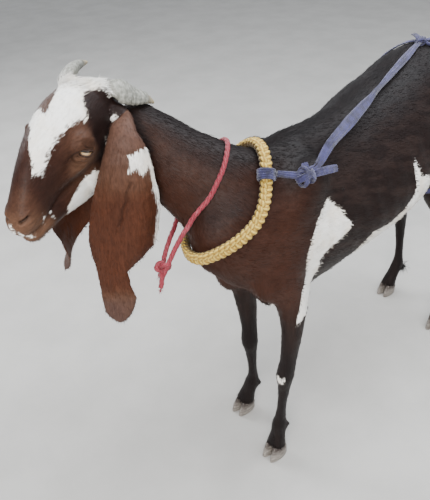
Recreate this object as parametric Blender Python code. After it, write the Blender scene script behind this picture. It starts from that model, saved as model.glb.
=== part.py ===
# A standing long-eared goat, life size, with a braided collar, a neck loop and a strap tied round its loin.
# Metres, +Z up. The goat faces -Y and its left side is at +X.
# The flesh is blocked out with lofted forms, blended into one skin and parted with thin flat gaps.

import math

import bmesh
import bpy
import numpy as np
from mathutils import Euler, Matrix, Vector
from mathutils.bvhtree import BVHTree

# Driving sizes
CUT_GAP = 0.0004  # between pieces that touch
REST_GAP = 0.0005  # between the skin and what lies on it
HEAD_LENGTH = 0.235  # poll to nose tip
EAR_LENGTH = 0.370
EYE_RADIUS = 0.0142

# Where the head is held: the poll's place and the way that the face points, in degrees
POLL = Vector((-0.148, -0.253, 0.835))
HEAD_YAW = 22.0
HEAD_PITCH = 16.0
HEAD_ROLL = -3.7

# Mesh sizes
BODY_VOXEL = 0.0055
HEAD_VOXEL = 0.0022
SKIN_VOXEL = 0.0024
HEAD_FACES = 2600
TRUNK_FACES = 2100
LEG_FACES = 2000


def clear_scene():
    for obj in list(bpy.data.objects):
        bpy.data.objects.remove(obj, do_unlink=True)


def new_object(name, mesh):
    obj = bpy.data.objects.new(name, mesh)
    bpy.context.scene.collection.objects.link(obj)
    return obj


def mesh_of(name, points, faces):
    """A closed mesh of these points and faces, facing out and split into triangles."""
    mesh = bpy.data.meshes.new(name)
    mesh.from_pydata([tuple(p) for p in points], [], faces)
    bm = bmesh.new()
    bm.from_mesh(mesh)
    bmesh.ops.recalc_face_normals(bm, faces=bm.faces)
    bmesh.ops.triangulate(bm, faces=bm.faces)
    bm.to_mesh(mesh)
    bm.free()
    return mesh


def catmull(rows, steps):
    """Rows of numbers, joined by a smooth curve with that many steps between each two."""
    rows = np.array(rows, float)
    ends = np.vstack([2 * rows[0] - rows[1], rows, 2 * rows[-1] - rows[-2]])
    out = []
    for i in range(1, len(ends) - 2):
        a, b, c, d = ends[i - 1 : i + 3]
        for k in range(steps):
            t = k / steps
            bend = (2 * a - 5 * b + 4 * c - d) * t**2 + (3 * b - a - 3 * c + d) * t**3
            out.append(0.5 * (2 * b + (c - a) * t + bend))
    out.append(rows[-1])
    return np.array(out)


def bridge(rings, closed=False):
    """Faces that join rings of equal length, with flat ends unless the rings close on themselves."""
    count, sides = len(rings), len(rings[0])
    points = [p for ring in rings for p in ring]
    faces = []
    for r in range(count if closed else count - 1):
        s = (r + 1) % count
        for i in range(sides):
            j = (i + 1) % sides
            faces.append((r * sides + i, r * sides + j, s * sides + j, s * sides + i))
    if not closed:
        faces.append(tuple(range(sides))[::-1])
        faces.append(tuple((count - 1) * sides + i for i in range(sides)))
    return points, faces


def loft(name, stations, up, sides=28, steps=4):
    """A closed body through rings. A station is x, y, z, half width, rise, drop, fullness.

    Rise is how far the ring reaches from its centre towards up, and drop is how far the other way.
    """
    rows = catmull(stations, steps)
    tangents = np.gradient(rows[:, :3], axis=0)
    rings = []
    for row, tangent in zip(rows, tangents):
        along = Vector(tangent).normalized()
        rise_way = (Vector(up) - Vector(up).dot(along) * along).normalized()
        side_way = along.cross(rise_way)
        half, rise, drop, power = (max(v, 1e-4) for v in row[3:7])
        ring = []
        for i in range(sides):
            a = 2 * math.pi * i / sides
            c, s = math.cos(a), math.sin(a)
            across = half * math.copysign(abs(c) ** (2 / power), c)
            upward = (rise if s > 0 else drop) * math.copysign(abs(s) ** (2 / power), s)
            ring.append(Vector(row[:3]) + side_way * across + rise_way * upward)
        rings.append(ring)
    return new_object(name, mesh_of(name, *bridge(rings)))


def blob(name, centre, radii, turn=(0, 0, 0)):
    """An ellipsoid, for a muscle or a bone that shows under the skin."""
    bm = bmesh.new()
    bmesh.ops.create_icosphere(bm, subdivisions=3, radius=1.0)
    spin = Euler([math.radians(a) for a in turn]).to_matrix().to_4x4()
    place = Matrix.Translation(centre) @ spin @ Matrix.Diagonal((*radii, 1))
    bmesh.ops.transform(bm, matrix=place, verts=bm.verts)
    mesh = bpy.data.meshes.new(name)
    bm.to_mesh(mesh)
    bm.free()
    return new_object(name, mesh)


def soften(obj, rounds, weights=None):
    """Relaxes the surface; weights are one number a point, none for the same everywhere."""
    relax = obj.modifiers.new("soften", "SMOOTH")
    relax.iterations = rounds
    if weights is not None:
        group = obj.vertex_groups.new(name="soften")
        for step in range(1, 11):
            chosen = np.nonzero(np.round(weights * 10) == step)[0]
            group.add([int(i) for i in chosen], step / 10, "REPLACE")
        relax.vertex_group = "soften"
    settle(obj)
    obj.vertex_groups.clear()
    return obj


def settle(obj):
    """Applies the object's modifiers."""
    bpy.context.view_layer.update()
    graph = bpy.context.evaluated_depsgraph_get()
    mesh = bpy.data.meshes.new_from_object(obj.evaluated_get(graph))
    obj.modifiers.clear()
    obj.data = mesh
    return obj


def drop_objects(objects):
    for obj in objects:
        bpy.data.objects.remove(obj, do_unlink=True)


def joined(name, objects):
    """One object with the faces of all of these, which are removed."""
    bm = bmesh.new()
    for obj in objects:
        mesh = obj.data.copy()
        mesh.transform(obj.matrix_world)
        bm.from_mesh(mesh)
    mesh = bpy.data.meshes.new(name)
    bm.to_mesh(mesh)
    bm.free()
    drop_objects(objects)
    return new_object(name, mesh)


def remesh(obj, voxel, smooth=0):
    """One even skin over all that the object holds, with its creases softened."""
    fuse = obj.modifiers.new("skin", "REMESH")
    fuse.mode = "VOXEL"
    fuse.voxel_size = voxel
    settle(obj)
    return soften(obj, smooth) if smooth else obj


def thin_out(obj, faces, chosen=None):
    """Collapses the mesh, or its chosen points, until about so many triangles are left there."""
    triangulate(obj)
    total = len(obj.data.polygons)
    here = total
    thin = obj.modifiers.new("thin", "DECIMATE")
    if chosen is not None:
        group = obj.vertex_groups.new(name="thin")
        group.add([int(i) for i in np.nonzero(chosen)[0]], 1.0, "REPLACE")
        thin.vertex_group = "thin"
        corners = np.empty(total * 3, int)
        obj.data.polygons.foreach_get("vertices", corners)
        here = int(chosen[corners.reshape(-1, 3)].all(axis=1).sum())
    thin.ratio = max(0.0, (total - here + faces) / total)
    settle(obj)
    obj.vertex_groups.clear()
    return obj


def triangulate(obj):
    bm = bmesh.new()
    bm.from_mesh(obj.data)
    bmesh.ops.triangulate(bm, faces=bm.faces)
    bm.to_mesh(obj.data)
    bm.free()


# Torso, neck, legs and tail

# Each torso ring: distance back, back height, widest height, belly height, half width, fullness
TORSO_RINGS = {
    "breast tip": (-0.140, 0.560, 0.500, 0.446, 0.026, 2.0),
    "breast": (-0.118, 0.630, 0.520, 0.402, 0.056, 2.0),
    "point of shoulder": (-0.080, 0.684, 0.546, 0.380, 0.080, 2.0),
    "elbow": (0.000, 0.716, 0.552, 0.376, 0.092, 1.8),
    "girth": (0.090, 0.717, 0.540, 0.386, 0.108, 1.7),
    "mid rib": (0.190, 0.722, 0.532, 0.408, 0.126, 1.65),
    "last rib": (0.290, 0.744, 0.546, 0.438, 0.132, 1.75),
    "flank": (0.375, 0.768, 0.585, 0.484, 0.122, 1.95),
    "hip bone": (0.450, 0.780, 0.630, 0.508, 0.104, 2.1),
    "croup": (0.530, 0.758, 0.640, 0.530, 0.088, 2.2),
    "pin bone": (0.595, 0.712, 0.635, 0.558, 0.060, 2.0),
    "tail head": (0.628, 0.684, 0.635, 0.598, 0.026, 2.0),
}

# Each neck ring: centre, half width, rise to the crest, drop to the throat, fullness
NECK_RINGS = {
    "root": (0.000, -0.020, 0.580, 0.066, 0.116, 0.108, 2.0),
    "collar": (-0.014, -0.095, 0.630, 0.056, 0.098, 0.088, 2.0),
    "middle": (-0.062, -0.142, 0.684, 0.046, 0.074, 0.074, 2.0),
    "upper": (-0.112, -0.172, 0.730, 0.040, 0.058, 0.064, 2.0),
    "nape": (-0.154, -0.204, 0.772, 0.036, 0.046, 0.054, 2.0),
}

# Fore leg rings: centre, half width, front, back, fullness
LEFT_FORE = {
    "arm": (0.062, -0.052, 0.500, 0.032, 0.050, 0.044, 2.0),
    "elbow": (0.070, -0.030, 0.425, 0.026, 0.036, 0.036, 2.0),
    "forearm": (0.075, -0.032, 0.370, 0.021, 0.028, 0.027, 2.0),
    "low forearm": (0.076, -0.042, 0.295, 0.0160, 0.020, 0.019, 2.1),
    "knee": (0.073, -0.048, 0.250, 0.0185, 0.0205, 0.0175, 2.3),
    "below knee": (0.070, -0.047, 0.220, 0.0140, 0.0150, 0.0155, 2.2),
    "cannon": (0.064, -0.046, 0.165, 0.0108, 0.0115, 0.0130, 2.1),
    "low cannon": (0.059, -0.045, 0.120, 0.0120, 0.0125, 0.0145, 2.1),
    "fetlock": (0.057, -0.045, 0.096, 0.0165, 0.0170, 0.0190, 2.3),
    "pastern": (0.055, -0.047, 0.066, 0.0175, 0.0150, 0.0165, 2.3),
    "coronet": (0.053, -0.050, 0.036, 0.0210, 0.0185, 0.0190, 2.5),
    "sole": (0.053, -0.052, 0.012, 0.0210, 0.0200, 0.0200, 2.5),
}
RIGHT_FORE = {
    "arm": (-0.062, -0.050, 0.500, 0.032, 0.050, 0.044, 2.0),
    "elbow": (-0.064, -0.020, 0.425, 0.026, 0.046, 0.036, 2.0),
    "forearm": (-0.063, -0.014, 0.370, 0.021, 0.033, 0.027, 2.0),
    "low forearm": (-0.057, -0.014, 0.285, 0.0160, 0.020, 0.019, 2.1),
    "knee": (-0.055, -0.015, 0.240, 0.0185, 0.0205, 0.0175, 2.3),
    "below knee": (-0.056, -0.012, 0.212, 0.0140, 0.0150, 0.0155, 2.2),
    "cannon": (-0.060, -0.005, 0.160, 0.0108, 0.0115, 0.0130, 2.1),
    "low cannon": (-0.066, 0.002, 0.118, 0.0120, 0.0125, 0.0145, 2.1),
    "fetlock": (-0.070, 0.004, 0.095, 0.0165, 0.0170, 0.0190, 2.3),
    "pastern": (-0.077, 0.000, 0.065, 0.0175, 0.0150, 0.0165, 2.3),
    "coronet": (-0.083, -0.005, 0.036, 0.0210, 0.0185, 0.0190, 2.5),
    "sole": (-0.086, -0.007, 0.012, 0.0210, 0.0200, 0.0200, 2.5),
}
# Hind leg rings
RIGHT_HIND = {
    "haunch": (-0.050, 0.520, 0.660, 0.042, 0.080, 0.066, 2.0),
    "thigh": (-0.074, 0.492, 0.580, 0.046, 0.088, 0.078, 2.0),
    "stifle": (-0.086, 0.462, 0.490, 0.038, 0.060, 0.080, 2.0),
    "gaskin": (-0.090, 0.505, 0.410, 0.026, 0.038, 0.048, 2.0),
    "low gaskin": (-0.088, 0.560, 0.335, 0.0175, 0.024, 0.028, 2.0),
    "hock": (-0.086, 0.604, 0.278, 0.0175, 0.021, 0.028, 2.2),
    "below hock": (-0.085, 0.617, 0.235, 0.0150, 0.0175, 0.0195, 2.2),
    "cannon": (-0.082, 0.622, 0.175, 0.0120, 0.0125, 0.0140, 2.1),
    "low cannon": (-0.080, 0.624, 0.125, 0.0125, 0.0135, 0.0150, 2.1),
    "fetlock": (-0.080, 0.624, 0.098, 0.0165, 0.0175, 0.0190, 2.3),
    "pastern": (-0.085, 0.614, 0.066, 0.0170, 0.0150, 0.0165, 2.3),
    "coronet": (-0.090, 0.606, 0.036, 0.0200, 0.0180, 0.0190, 2.5),
    "sole": (-0.092, 0.604, 0.012, 0.0200, 0.0195, 0.0200, 2.5),
}
# How far the left hind foot stands from the right one's mirror image, forward where negative
LEFT_HIND_STEP = -0.045


def left_hind():
    """The right hind leg's rings at the other side, with the lower leg swung forward."""
    hip_height = RIGHT_HIND["haunch"][2]
    rings = {}
    for name, (x, y, z, *sizes) in RIGHT_HIND.items():
        swing = LEFT_HIND_STEP * (hip_height - z) / hip_height
        rings[name] = (-x, y + swing, z, *sizes)
    return rings


LEGS = {
    "left_fore": LEFT_FORE,
    "right_fore": RIGHT_FORE,
    "left_hind": left_hind(),
    "right_hind": RIGHT_HIND,
}


def torso_form():
    rows = []
    for back, top, widest, bottom, half, power in TORSO_RINGS.values():
        rows.append((0, back, widest, half, top - widest, widest - bottom, power))
    return loft("torso_form", rows, up=(0, 0, 1), sides=40)


def neck_form():
    return loft("neck_form", list(NECK_RINGS.values()), up=(0.25, 0.55, 0.8), sides=32)


def leg_form(name):
    return loft(name + "_form", list(LEGS[name].values()), up=(0, -1, 0), sides=24)


def muscle_forms():
    """What shows under the skin: shoulder blades, arms, haunches, hip and pin bones, hocks, elbows."""
    forms = [
        blob("arm_left", (0.058, -0.060, 0.490), (0.034, 0.056, 0.048), (40, 0, 0)),
        blob("arm_right", (-0.052, -0.050, 0.452), (0.032, 0.050, 0.054), (40, 0, 0)),
    ]
    for side in (1, -1):
        forms += [
            blob("blade", (side * 0.060, -0.006, 0.600), (0.032, 0.056, 0.104), (-18, side * 9, 0)),
            blob("haunch", (side * 0.064, 0.500, 0.610), (0.042, 0.096, 0.112), (20, side * 8, 0)),
            blob("hip_bone", (side * 0.072, 0.432, 0.708), (0.026, 0.045, 0.026), (0, side * 20, 0)),
            blob("pin_bone", (side * 0.040, 0.606, 0.672), (0.020, 0.028, 0.024)),
        ]
    for name, rings in LEGS.items():
        if name.endswith("hind"):
            x, y, z = rings["hock"][:3]
            point = (x, y + 0.024, z + 0.016)
            forms.append(blob("hock_point", point, (0.010, 0.012, 0.022), (-25, 0, 0)))
        else:
            x, y, z = rings["elbow"][:3]
            forms.append(blob("elbow_point", (x, y + 0.032, z + 0.006), (0.015, 0.018, 0.026)))
        x, y, z = rings["fetlock"][:3]
        for side in (1, -1):
            claw_place = (x + side * 0.0105, y + 0.0185, z - 0.013)
            forms.append(blob("dewclaw", claw_place, (0.0065, 0.0065, 0.0085)))
    return forms


TAIL_ROOT = Vector((0, 0.628, 0.690))


def tail_form():
    """A short tail, held level and a little up."""
    x, y, z = TAIL_ROOT
    rows = [
        (x, y - 0.030, z - 0.014, 0.020, 0.016, 0.016, 2),
        (x, y, z, 0.0185, 0.013, 0.013, 2),
        (x, y + 0.035, z + 0.008, 0.019, 0.011, 0.012, 2),
        (x, y + 0.070, z + 0.004, 0.020, 0.010, 0.012, 2),
        (x, y + 0.102, z - 0.012, 0.016, 0.009, 0.011, 2),
        (x, y + 0.126, z - 0.032, 0.006, 0.005, 0.006, 2),
    ]
    return loft("tail_form", rows, up=(0, 0, 1), sides=20)


# Head, in its own frame: x left, y towards the nose, z out of the forehead, origin at the poll


def head_frame():
    yaw, pitch, roll = (math.radians(a) for a in (HEAD_YAW, HEAD_PITCH, HEAD_ROLL))
    nose = Vector((math.sin(yaw) * math.cos(pitch), -math.cos(yaw) * math.cos(pitch), -math.sin(pitch)))
    level = Vector((math.cos(yaw), math.sin(yaw), 0))
    crown = nose.cross(level)
    left = math.cos(roll) * level + math.sin(roll) * crown
    crown = math.cos(roll) * crown - math.sin(roll) * level
    turn = Matrix((left, nose, crown)).transposed().to_4x4()
    return Matrix.Translation(POLL) @ turn @ Matrix.Scale(HEAD_LENGTH / 0.235, 4)


HEAD = head_frame()
HEAD_TURN = HEAD.to_3x3().normalized()

# Skull rings: distance from the poll, dorsal line, widest height, lower line, half width, fullness
SKULL_RINGS = {
    "nape": (-0.034, -0.012, -0.045, -0.085, 0.030, 2.0),
    "poll": (-0.004, 0.007, -0.040, -0.100, 0.042, 2.1),
    "crown": (0.026, 0.019, -0.034, -0.108, 0.047, 2.2),
    "brow": (0.058, 0.023, -0.030, -0.104, 0.047, 2.25),
    "eye": (0.090, 0.020, -0.032, -0.098, 0.042, 2.2),
    "cheekbone": (0.120, 0.012, -0.038, -0.092, 0.035, 2.2),
    "nasal": (0.148, -0.001, -0.047, -0.090, 0.0275, 2.2),
    "muzzle": (0.175, -0.020, -0.058, -0.093, 0.0235, 2.3),
    "nostril": (0.200, -0.041, -0.066, -0.095, 0.0222, 2.4),
    "lip": (0.217, -0.058, -0.074, -0.094, 0.0188, 2.3),
    "nose tip": (0.227, -0.068, -0.076, -0.088, 0.0105, 2.2),
}
# Lower jaw rings, the same way
JAW_RINGS = {
    "hinge": (0.000, -0.050, -0.088, -0.118, 0.032, 2.0),
    "jaw angle": (0.032, -0.050, -0.104, -0.152, 0.031, 2.2),
    "cheek": (0.074, -0.060, -0.106, -0.151, 0.028, 2.2),
    "mid jaw": (0.112, -0.070, -0.104, -0.140, 0.0235, 2.2),
    "diastema": (0.152, -0.082, -0.103, -0.127, 0.019, 2.2),
    "chin": (0.185, -0.090, -0.105, -0.120, 0.0165, 2.3),
    "low lip": (0.205, -0.093, -0.103, -0.114, 0.0145, 2.3),
    "jaw tip": (0.214, -0.095, -0.100, -0.107, 0.009, 2.0),
}

# Places on the left half of the head; the right half mirrors them
EYE_CENTRE = Vector((0.0345, 0.0855, -0.0400))
EYE_LOOK = Vector((0.95, 0.22, 0.20)).normalized()
EAR_STUB = Vector((0.0390, 0.000, -0.038))
EAR_WAY = Vector((0.96, 0.10, -0.16)).normalized()
EAR_STUB_REACH = 0.031
HORN_STUB = Vector((0.0260, 0.005, -0.006))
HORN_WAY = Vector((0.55, -0.52, 0.60)).normalized()
HORN_STUB_REACH = 0.025
HORN_STUB_RADII = (0.0145, 0.0220)
STUB_CUT = 0.70  # how far along its reach a stub is cut flat


def sided(point, side):
    return Vector((point[0] * side, point[1], point[2]))


def head_rings(table):
    rows = []
    for along, top, widest, bottom, half, power in table.values():
        rows.append((0, along, widest, half, top - widest, widest - bottom, power))
    return rows


def stub(name, centre, way, reach, width, height):
    """An ellipsoid that points along its way, from which an ear or a horn grows."""
    obj = blob(name, (0, 0, 0), (width, height, reach))
    turn = Vector(way).to_track_quat("Z", "Y").to_matrix().to_4x4()
    obj.data.transform(Matrix.Translation(centre) @ turn)
    return obj


def head_form():
    forms = [
        loft("skull", head_rings(SKULL_RINGS), up=(0, 0, 1), sides=36),
        loft("jaw", head_rings(JAW_RINGS), up=(0, 0, 1), sides=28),
    ]
    for side in (1, -1):
        lid = EYE_RADIUS + 0.0024
        forms += [
            blob("orbit", (side * 0.031, 0.080, -0.024), (0.020, 0.030, 0.021), (0, 0, side * -16)),
            blob("lids", sided(EYE_CENTRE, side), (lid, lid, lid)),
            blob("cheek_muscle", (side * 0.026, 0.052, -0.094), (0.014, 0.038, 0.044), (12, 0, 0)),
            blob("nostril_wing", (side * 0.0125, 0.203, -0.067), (0.0110, 0.018, 0.0125), (-35, 0, 0)),
            stub("ear_stub", sided(EAR_STUB, side), sided(EAR_WAY, side), EAR_STUB_REACH, 0.018, 0.020),
            stub("horn_stub", sided(HORN_STUB, side), sided(HORN_WAY, side), HORN_STUB_REACH, *HORN_STUB_RADII),
        ]
    head = joined("head_form", forms)
    head.data.transform(HEAD)
    return head


# Folds pressed into the head: centre, push, and reach along x, y and z, all on the left half
HEAD_FOLDS = {
    "hollow behind the eye": ((0.046, 0.054, -0.034), (-0.0030, 0, 0), (0.012, 0.012, 0.016)),
    "hollow before the eye": ((0.036, 0.120, -0.040), (-0.0032, 0, 0), (0.012, 0.014, 0.012)),
    "cheek hollow": ((0.028, 0.128, -0.086), (-0.0030, 0, 0), (0.012, 0.030, 0.012)),
    "cheekbone": ((0.037, 0.112, -0.060), (0.0022, 0, 0), (0.010, 0.032, 0.006)),
    "upper lip": ((0.021, 0.189, -0.083), (0.0022, 0, 0.0005), (0.010, 0.022, 0.006)),
    "lower lip": ((0.016, 0.185, -0.103), (0.0016, 0, -0.0006), (0.010, 0.022, 0.005)),
    "chin": ((0.000, 0.201, -0.117), (0, 0.001, -0.0030), (0.012, 0.012, 0.008)),
    "groove under the nose": ((0.000, 0.228, -0.079), (0, -0.0030, 0), (0.0030, 0.012, 0.010)),
    "nostril": ((0.0125, 0.2120, -0.0650), (-0.0050, -0.0045, 0.0010), (0.0046, 0.0046, 0.0040)),
    "nostril rim": ((0.0125, 0.2100, -0.0570), (0.0016, 0.0012, 0.0016), (0.0060, 0.0080, 0.0034)),
}
# The line of the mouth from its corner to the front, on the left half
MOUTH_LINE = (
    (0.0255, 0.156, -0.0920),
    (0.0230, 0.170, -0.0950),
    (0.0210, 0.187, -0.0950),
    (0.0165, 0.204, -0.0945),
    (0.0095, 0.218, -0.0940),
    (0.0000, 0.223, -0.0935),
)
MOUTH_DEPTH = 0.0042
MOUTH_WIDTH = 0.0022


def fold_head(points):
    """Presses the folds and the line of the mouth into points given in the head's frame."""
    half = points * np.where(points[:, :1] < 0, (-1, 1, 1), (1, 1, 1))
    moved = np.zeros_like(points)
    for centre, push, reach in HEAD_FOLDS.values():
        near = np.exp(-(((half - centre) / reach) ** 2).sum(axis=1))
        moved += near[:, None] * np.array(push)
    line = catmull(MOUTH_LINE, 6)
    away = np.full(len(half), 1.0)
    for a, b in zip(line[:-1], line[1:]):
        t = np.clip(((half - a) @ (b - a)) / ((b - a) @ (b - a)), 0, 1)
        away = np.minimum(away, np.linalg.norm(half - a - t[:, None] * (b - a), axis=1))
    groove = MOUTH_DEPTH * np.exp(-((away / MOUTH_WIDTH) ** 2))
    centre_line = np.array((0.0, 0.162, -0.095))
    inward = centre_line - half
    inward /= np.linalg.norm(inward, axis=1)[:, None]
    moved += groove[:, None] * inward
    return points + moved * np.where(points[:, :1] < 0, (-1, 1, 1), (1, 1, 1))


def coordinates(obj):
    points = np.empty(len(obj.data.vertices) * 3)
    obj.data.vertices.foreach_get("co", points)
    return points.reshape(-1, 3)


def into_head(points):
    """World points in the head's own frame."""
    back = np.array(HEAD.inverted())
    return points @ back[:3, :3].T + back[:3, 3]


def on_head(local):
    return (local[:, 1] > -0.020) & (local[:, 2] > -0.160)


def whole_form():
    """The whole goat but its ears, horns, eyes and hooves, as one blended skin."""
    forms = [torso_form(), neck_form(), tail_form(), *muscle_forms()]
    forms += [leg_form(name) for name in LEGS]
    body = remesh(joined("body_form", forms), BODY_VOXEL, smooth=7)
    trunk = np.clip((coordinates(body)[:, 2] - 0.40) / 0.10, 0, 1)
    soften(body, 45, trunk)
    head = remesh(head_form(), HEAD_VOXEL, smooth=3)
    whole = remesh(joined("goat", [body, head]), SKIN_VOXEL, smooth=3)
    points = coordinates(whole)
    local = into_head(points)
    face = on_head(local)
    turn = np.array(HEAD)
    local[face] = fold_head(local[face])
    points[face] = local[face] @ turn[:3, :3].T + turn[:3, 3]
    whole.data.vertices.foreach_set("co", points.ravel())
    whole.data.update()
    for zone, faces in enumerate((HEAD_FACES, TRUNK_FACES, LEG_FACES)):
        points = coordinates(whole)
        is_head = on_head(into_head(points))
        is_leg = points[:, 2] < 0.368
        thin_out(whole, faces, (is_head, ~is_head & ~is_leg, is_leg)[zone])
    return whole


# Parting the flesh


def part_flesh(bm, origin, normal):
    """Opens a flat gap across the limb, neck or stub that the plane crosses nearest to its origin."""
    origin, normal = Vector(origin), Vector(normal).normalized()
    depth = {v: (v.co - origin).dot(normal) for v in bm.verts}
    crossing = set()
    for face in bm.faces:
        depths = [depth[v] for v in face.verts]
        if min(depths) < 0 < max(depths):
            crossing.add(face)
    rings = []
    while crossing:
        ring, edge = set(), [crossing.pop()]
        while edge:
            face = edge.pop()
            ring.add(face)
            for e in face.edges:
                for other in e.link_faces:
                    if other in crossing:
                        crossing.remove(other)
                        edge.append(other)
        rings.append(ring)

    def distance(ring):
        middle = sum((f.calc_center_median() for f in ring), Vector()) / len(ring)
        return (middle - origin).length

    ring = min(rings, key=distance)
    clear = 0.0009
    for v in {v for f in ring for v in f.verts}:
        if abs(depth[v]) < clear:
            v.co += normal * (math.copysign(clear, depth[v]) - depth[v])
    geometry = list(ring)
    geometry += list({e for f in ring for e in f.edges})
    geometry += list({v for f in ring for v in f.verts})
    for offset in (CUT_GAP / 2, -CUT_GAP / 2):
        point = origin + normal * offset
        cut = bmesh.ops.bisect_plane(bm, geom=geometry, dist=1e-7, plane_co=point, plane_no=normal)
        geometry = list({g for g in cut["geom"] if g.is_valid})
    strip = []
    for face in (g for g in geometry if isinstance(g, bmesh.types.BMFace)):
        if abs((face.calc_center_median() - origin).dot(normal)) < CUT_GAP * 0.45:
            strip.append(face)
    bmesh.ops.delete(bm, geom=strip, context="FACES")
    rim = [e for e in bm.edges if e.is_boundary]
    caps = bmesh.ops.holes_fill(bm, edges=rim, sides=0)["faces"]
    bmesh.ops.triangulate(bm, faces=caps)


def islands(bm):
    """The separate closed surfaces of a mesh, as lists of faces."""
    left, found = set(bm.faces), []
    while left:
        group, edge = [], [left.pop()]
        while edge:
            face = edge.pop()
            group.append(face)
            for e in face.edges:
                for other in e.link_faces:
                    if other in left:
                        left.remove(other)
                        edge.append(other)
        found.append(group)
    return found


def box_middle(group):
    """The middle of the box round a group of faces."""
    points = np.array([v.co for f in group for v in f.verts])
    return Vector((points.min(axis=0) + points.max(axis=0)) / 2)


def take_island(bm, name, group):
    index, points, faces = {}, [], []
    for face in group:
        for v in face.verts:
            if v not in index:
                index[v] = len(points)
                points.append(v.co.copy())
        faces.append(tuple(index[v] for v in face.verts))
    return new_object(name, mesh_of(name, points, faces))


# Cuts: a point on the plane and the plane's normal
HEAD_CUT = (Vector((0, -0.030, -0.070)), Vector((-0.30, 0.90, 0.30)))  # in the head's frame
NECK_CUT = ((-0.004, -0.085, 0.622), (-0.40, -0.63, 0.66))
LEG_CUT_HEIGHTS = {"left_fore": 0.368, "right_fore": 0.368, "left_hind": 0.436, "right_hind": 0.436}
CORONET_TILT = (0, 0.30, 1)
CORONET_HEIGHT = 0.030
SCRAP_FACES = 90  # a smaller piece is a cut-off stub


def place_on_leg(name, height):
    """The middle of a leg at that height."""
    rows = np.array([row[:3] for row in LEGS[name].values()])[::-1]
    across, along = (np.interp(height, rows[:, 2], rows[:, axis]) for axis in (0, 1))
    return Vector((across, along, height))


def flesh_pieces(whole):
    """Parts the skin into head, neck, torso, tail and legs, and drops the stubs' ends."""
    bm = bmesh.new()
    bm.from_mesh(whole.data)
    part_flesh(bm, HEAD @ HEAD_CUT[0], HEAD_TURN @ HEAD_CUT[1])
    part_flesh(bm, *NECK_CUT)
    part_flesh(bm, TAIL_ROOT + Vector((0, 0.012, 0.002)), (0, 1, 0.1))
    for name, height in LEG_CUT_HEIGHTS.items():
        part_flesh(bm, place_on_leg(name, height), (0, 0, 1))
        part_flesh(bm, place_on_leg(name, CORONET_HEIGHT), CORONET_TILT)
    for side in (1, -1):
        stubs = ((EAR_STUB, EAR_WAY, EAR_STUB_REACH), (HORN_STUB, HORN_WAY, HORN_STUB_REACH))
        for centre, way, reach in stubs:
            place = HEAD @ (sided(centre, side) + sided(way, side) * reach * STUB_CUT)
            part_flesh(bm, place, HEAD_TURN @ sided(way, side))
    wanted = {
        "head": HEAD @ Vector((0, 0.10, -0.05)),
        "neck": Vector((-0.07, -0.17, 0.71)),
        "torso": Vector((0, 0.22, 0.58)),
        "tail": TAIL_ROOT + Vector((0, 0.07, 0)),
    }
    for name in LEGS:
        wanted[name.split("_")[1] + "_leg_" + name.split("_")[0]] = place_on_leg(name, 0.2)
    found = [group for group in islands(bm) if len(group) > SCRAP_FACES]
    pieces = {}
    for name, place in wanted.items():
        nearest = min(found, key=lambda group: (box_middle(group) - place).length)
        pieces[name] = take_island(bm, name, nearest)
    bm.free()
    drop_objects([whole])
    return pieces


# Eyes, ears, horns and claws


def cut_away(obj, cutters):
    """Takes the cutters' shapes out of the piece."""
    for cutter in cutters:
        cutter.hide_render = True
        cutter.display_type = "WIRE"
        opening = obj.modifiers.new("opening", "BOOLEAN")
        opening.operation = "DIFFERENCE"
        opening.solver = "EXACT"
        opening.object = cutter
    settle(obj)
    drop_objects(cutters)
    keep_largest(obj)
    return obj


def keep_largest(obj):
    bm = bmesh.new()
    bm.from_mesh(obj.data)
    bmesh.ops.remove_doubles(bm, verts=bm.verts, dist=2e-6)
    bmesh.ops.dissolve_degenerate(bm, edges=bm.edges, dist=2e-6)
    bmesh.ops.triangulate(bm, faces=bm.faces)
    found = sorted(islands(bm), key=len)
    bmesh.ops.delete(bm, geom=[f for group in found[:-1] for f in group], context="FACES")
    bm.to_mesh(obj.data)
    bm.free()


def ball(name, centre, radius):
    bm = bmesh.new()
    bmesh.ops.create_uvsphere(bm, u_segments=16, v_segments=9, radius=radius)
    bmesh.ops.transform(bm, matrix=HEAD @ Matrix.Translation(centre), verts=bm.verts)
    bmesh.ops.recalc_face_normals(bm, faces=bm.faces)
    mesh = bpy.data.meshes.new(name)
    bm.to_mesh(mesh)
    bm.free()
    return new_object(name, mesh)


LID_OPENING = (0.0125, 0.0050)  # half length and half height between the lids
LID_SLANT = -37  # degrees, the back corner lower


def lid_opening(side):
    """An almond prism from the eye outward."""
    look = sided(EYE_LOOK, side)
    along = Vector((0, 1, 0)) - look * look.y
    along.normalize()
    up = look.cross(along)
    up *= math.copysign(1, up.z)
    slant = math.radians(LID_SLANT)
    level, upright = along, up
    along = math.cos(slant) * level - math.sin(slant) * upright
    up = math.cos(slant) * upright + math.sin(slant) * level
    rings = []
    for reach in (0.004, 0.030):
        ring = []
        for i in range(16):
            a = 2 * math.pi * i / 16
            flat = abs(math.sin(a)) ** 1.25 * math.copysign(1, math.sin(a))
            spread = 1 + (reach - 0.012) * 6
            offset = along * LID_OPENING[0] * math.cos(a) * spread + up * LID_OPENING[1] * flat * spread
            ring.append(HEAD @ (sided(EYE_CENTRE, side) + look * reach + offset))
        rings.append(ring)
    return new_object("lid_opening", mesh_of("lid_opening", *bridge(rings)))


def eyes(head):
    """Two eyeballs behind their lids."""
    cutters = []
    for side in (1, -1):
        cutters.append(ball("socket", sided(EYE_CENTRE, side), EYE_RADIUS + CUT_GAP))
        cutters.append(lid_opening(side))
    cut_away(head, cutters)
    return {
        "eye_" + word: ball("eye_" + word, sided(EYE_CENTRE, side), EYE_RADIUS)
        for word, side in (("left", 1), ("right", -1))
    }


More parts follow.
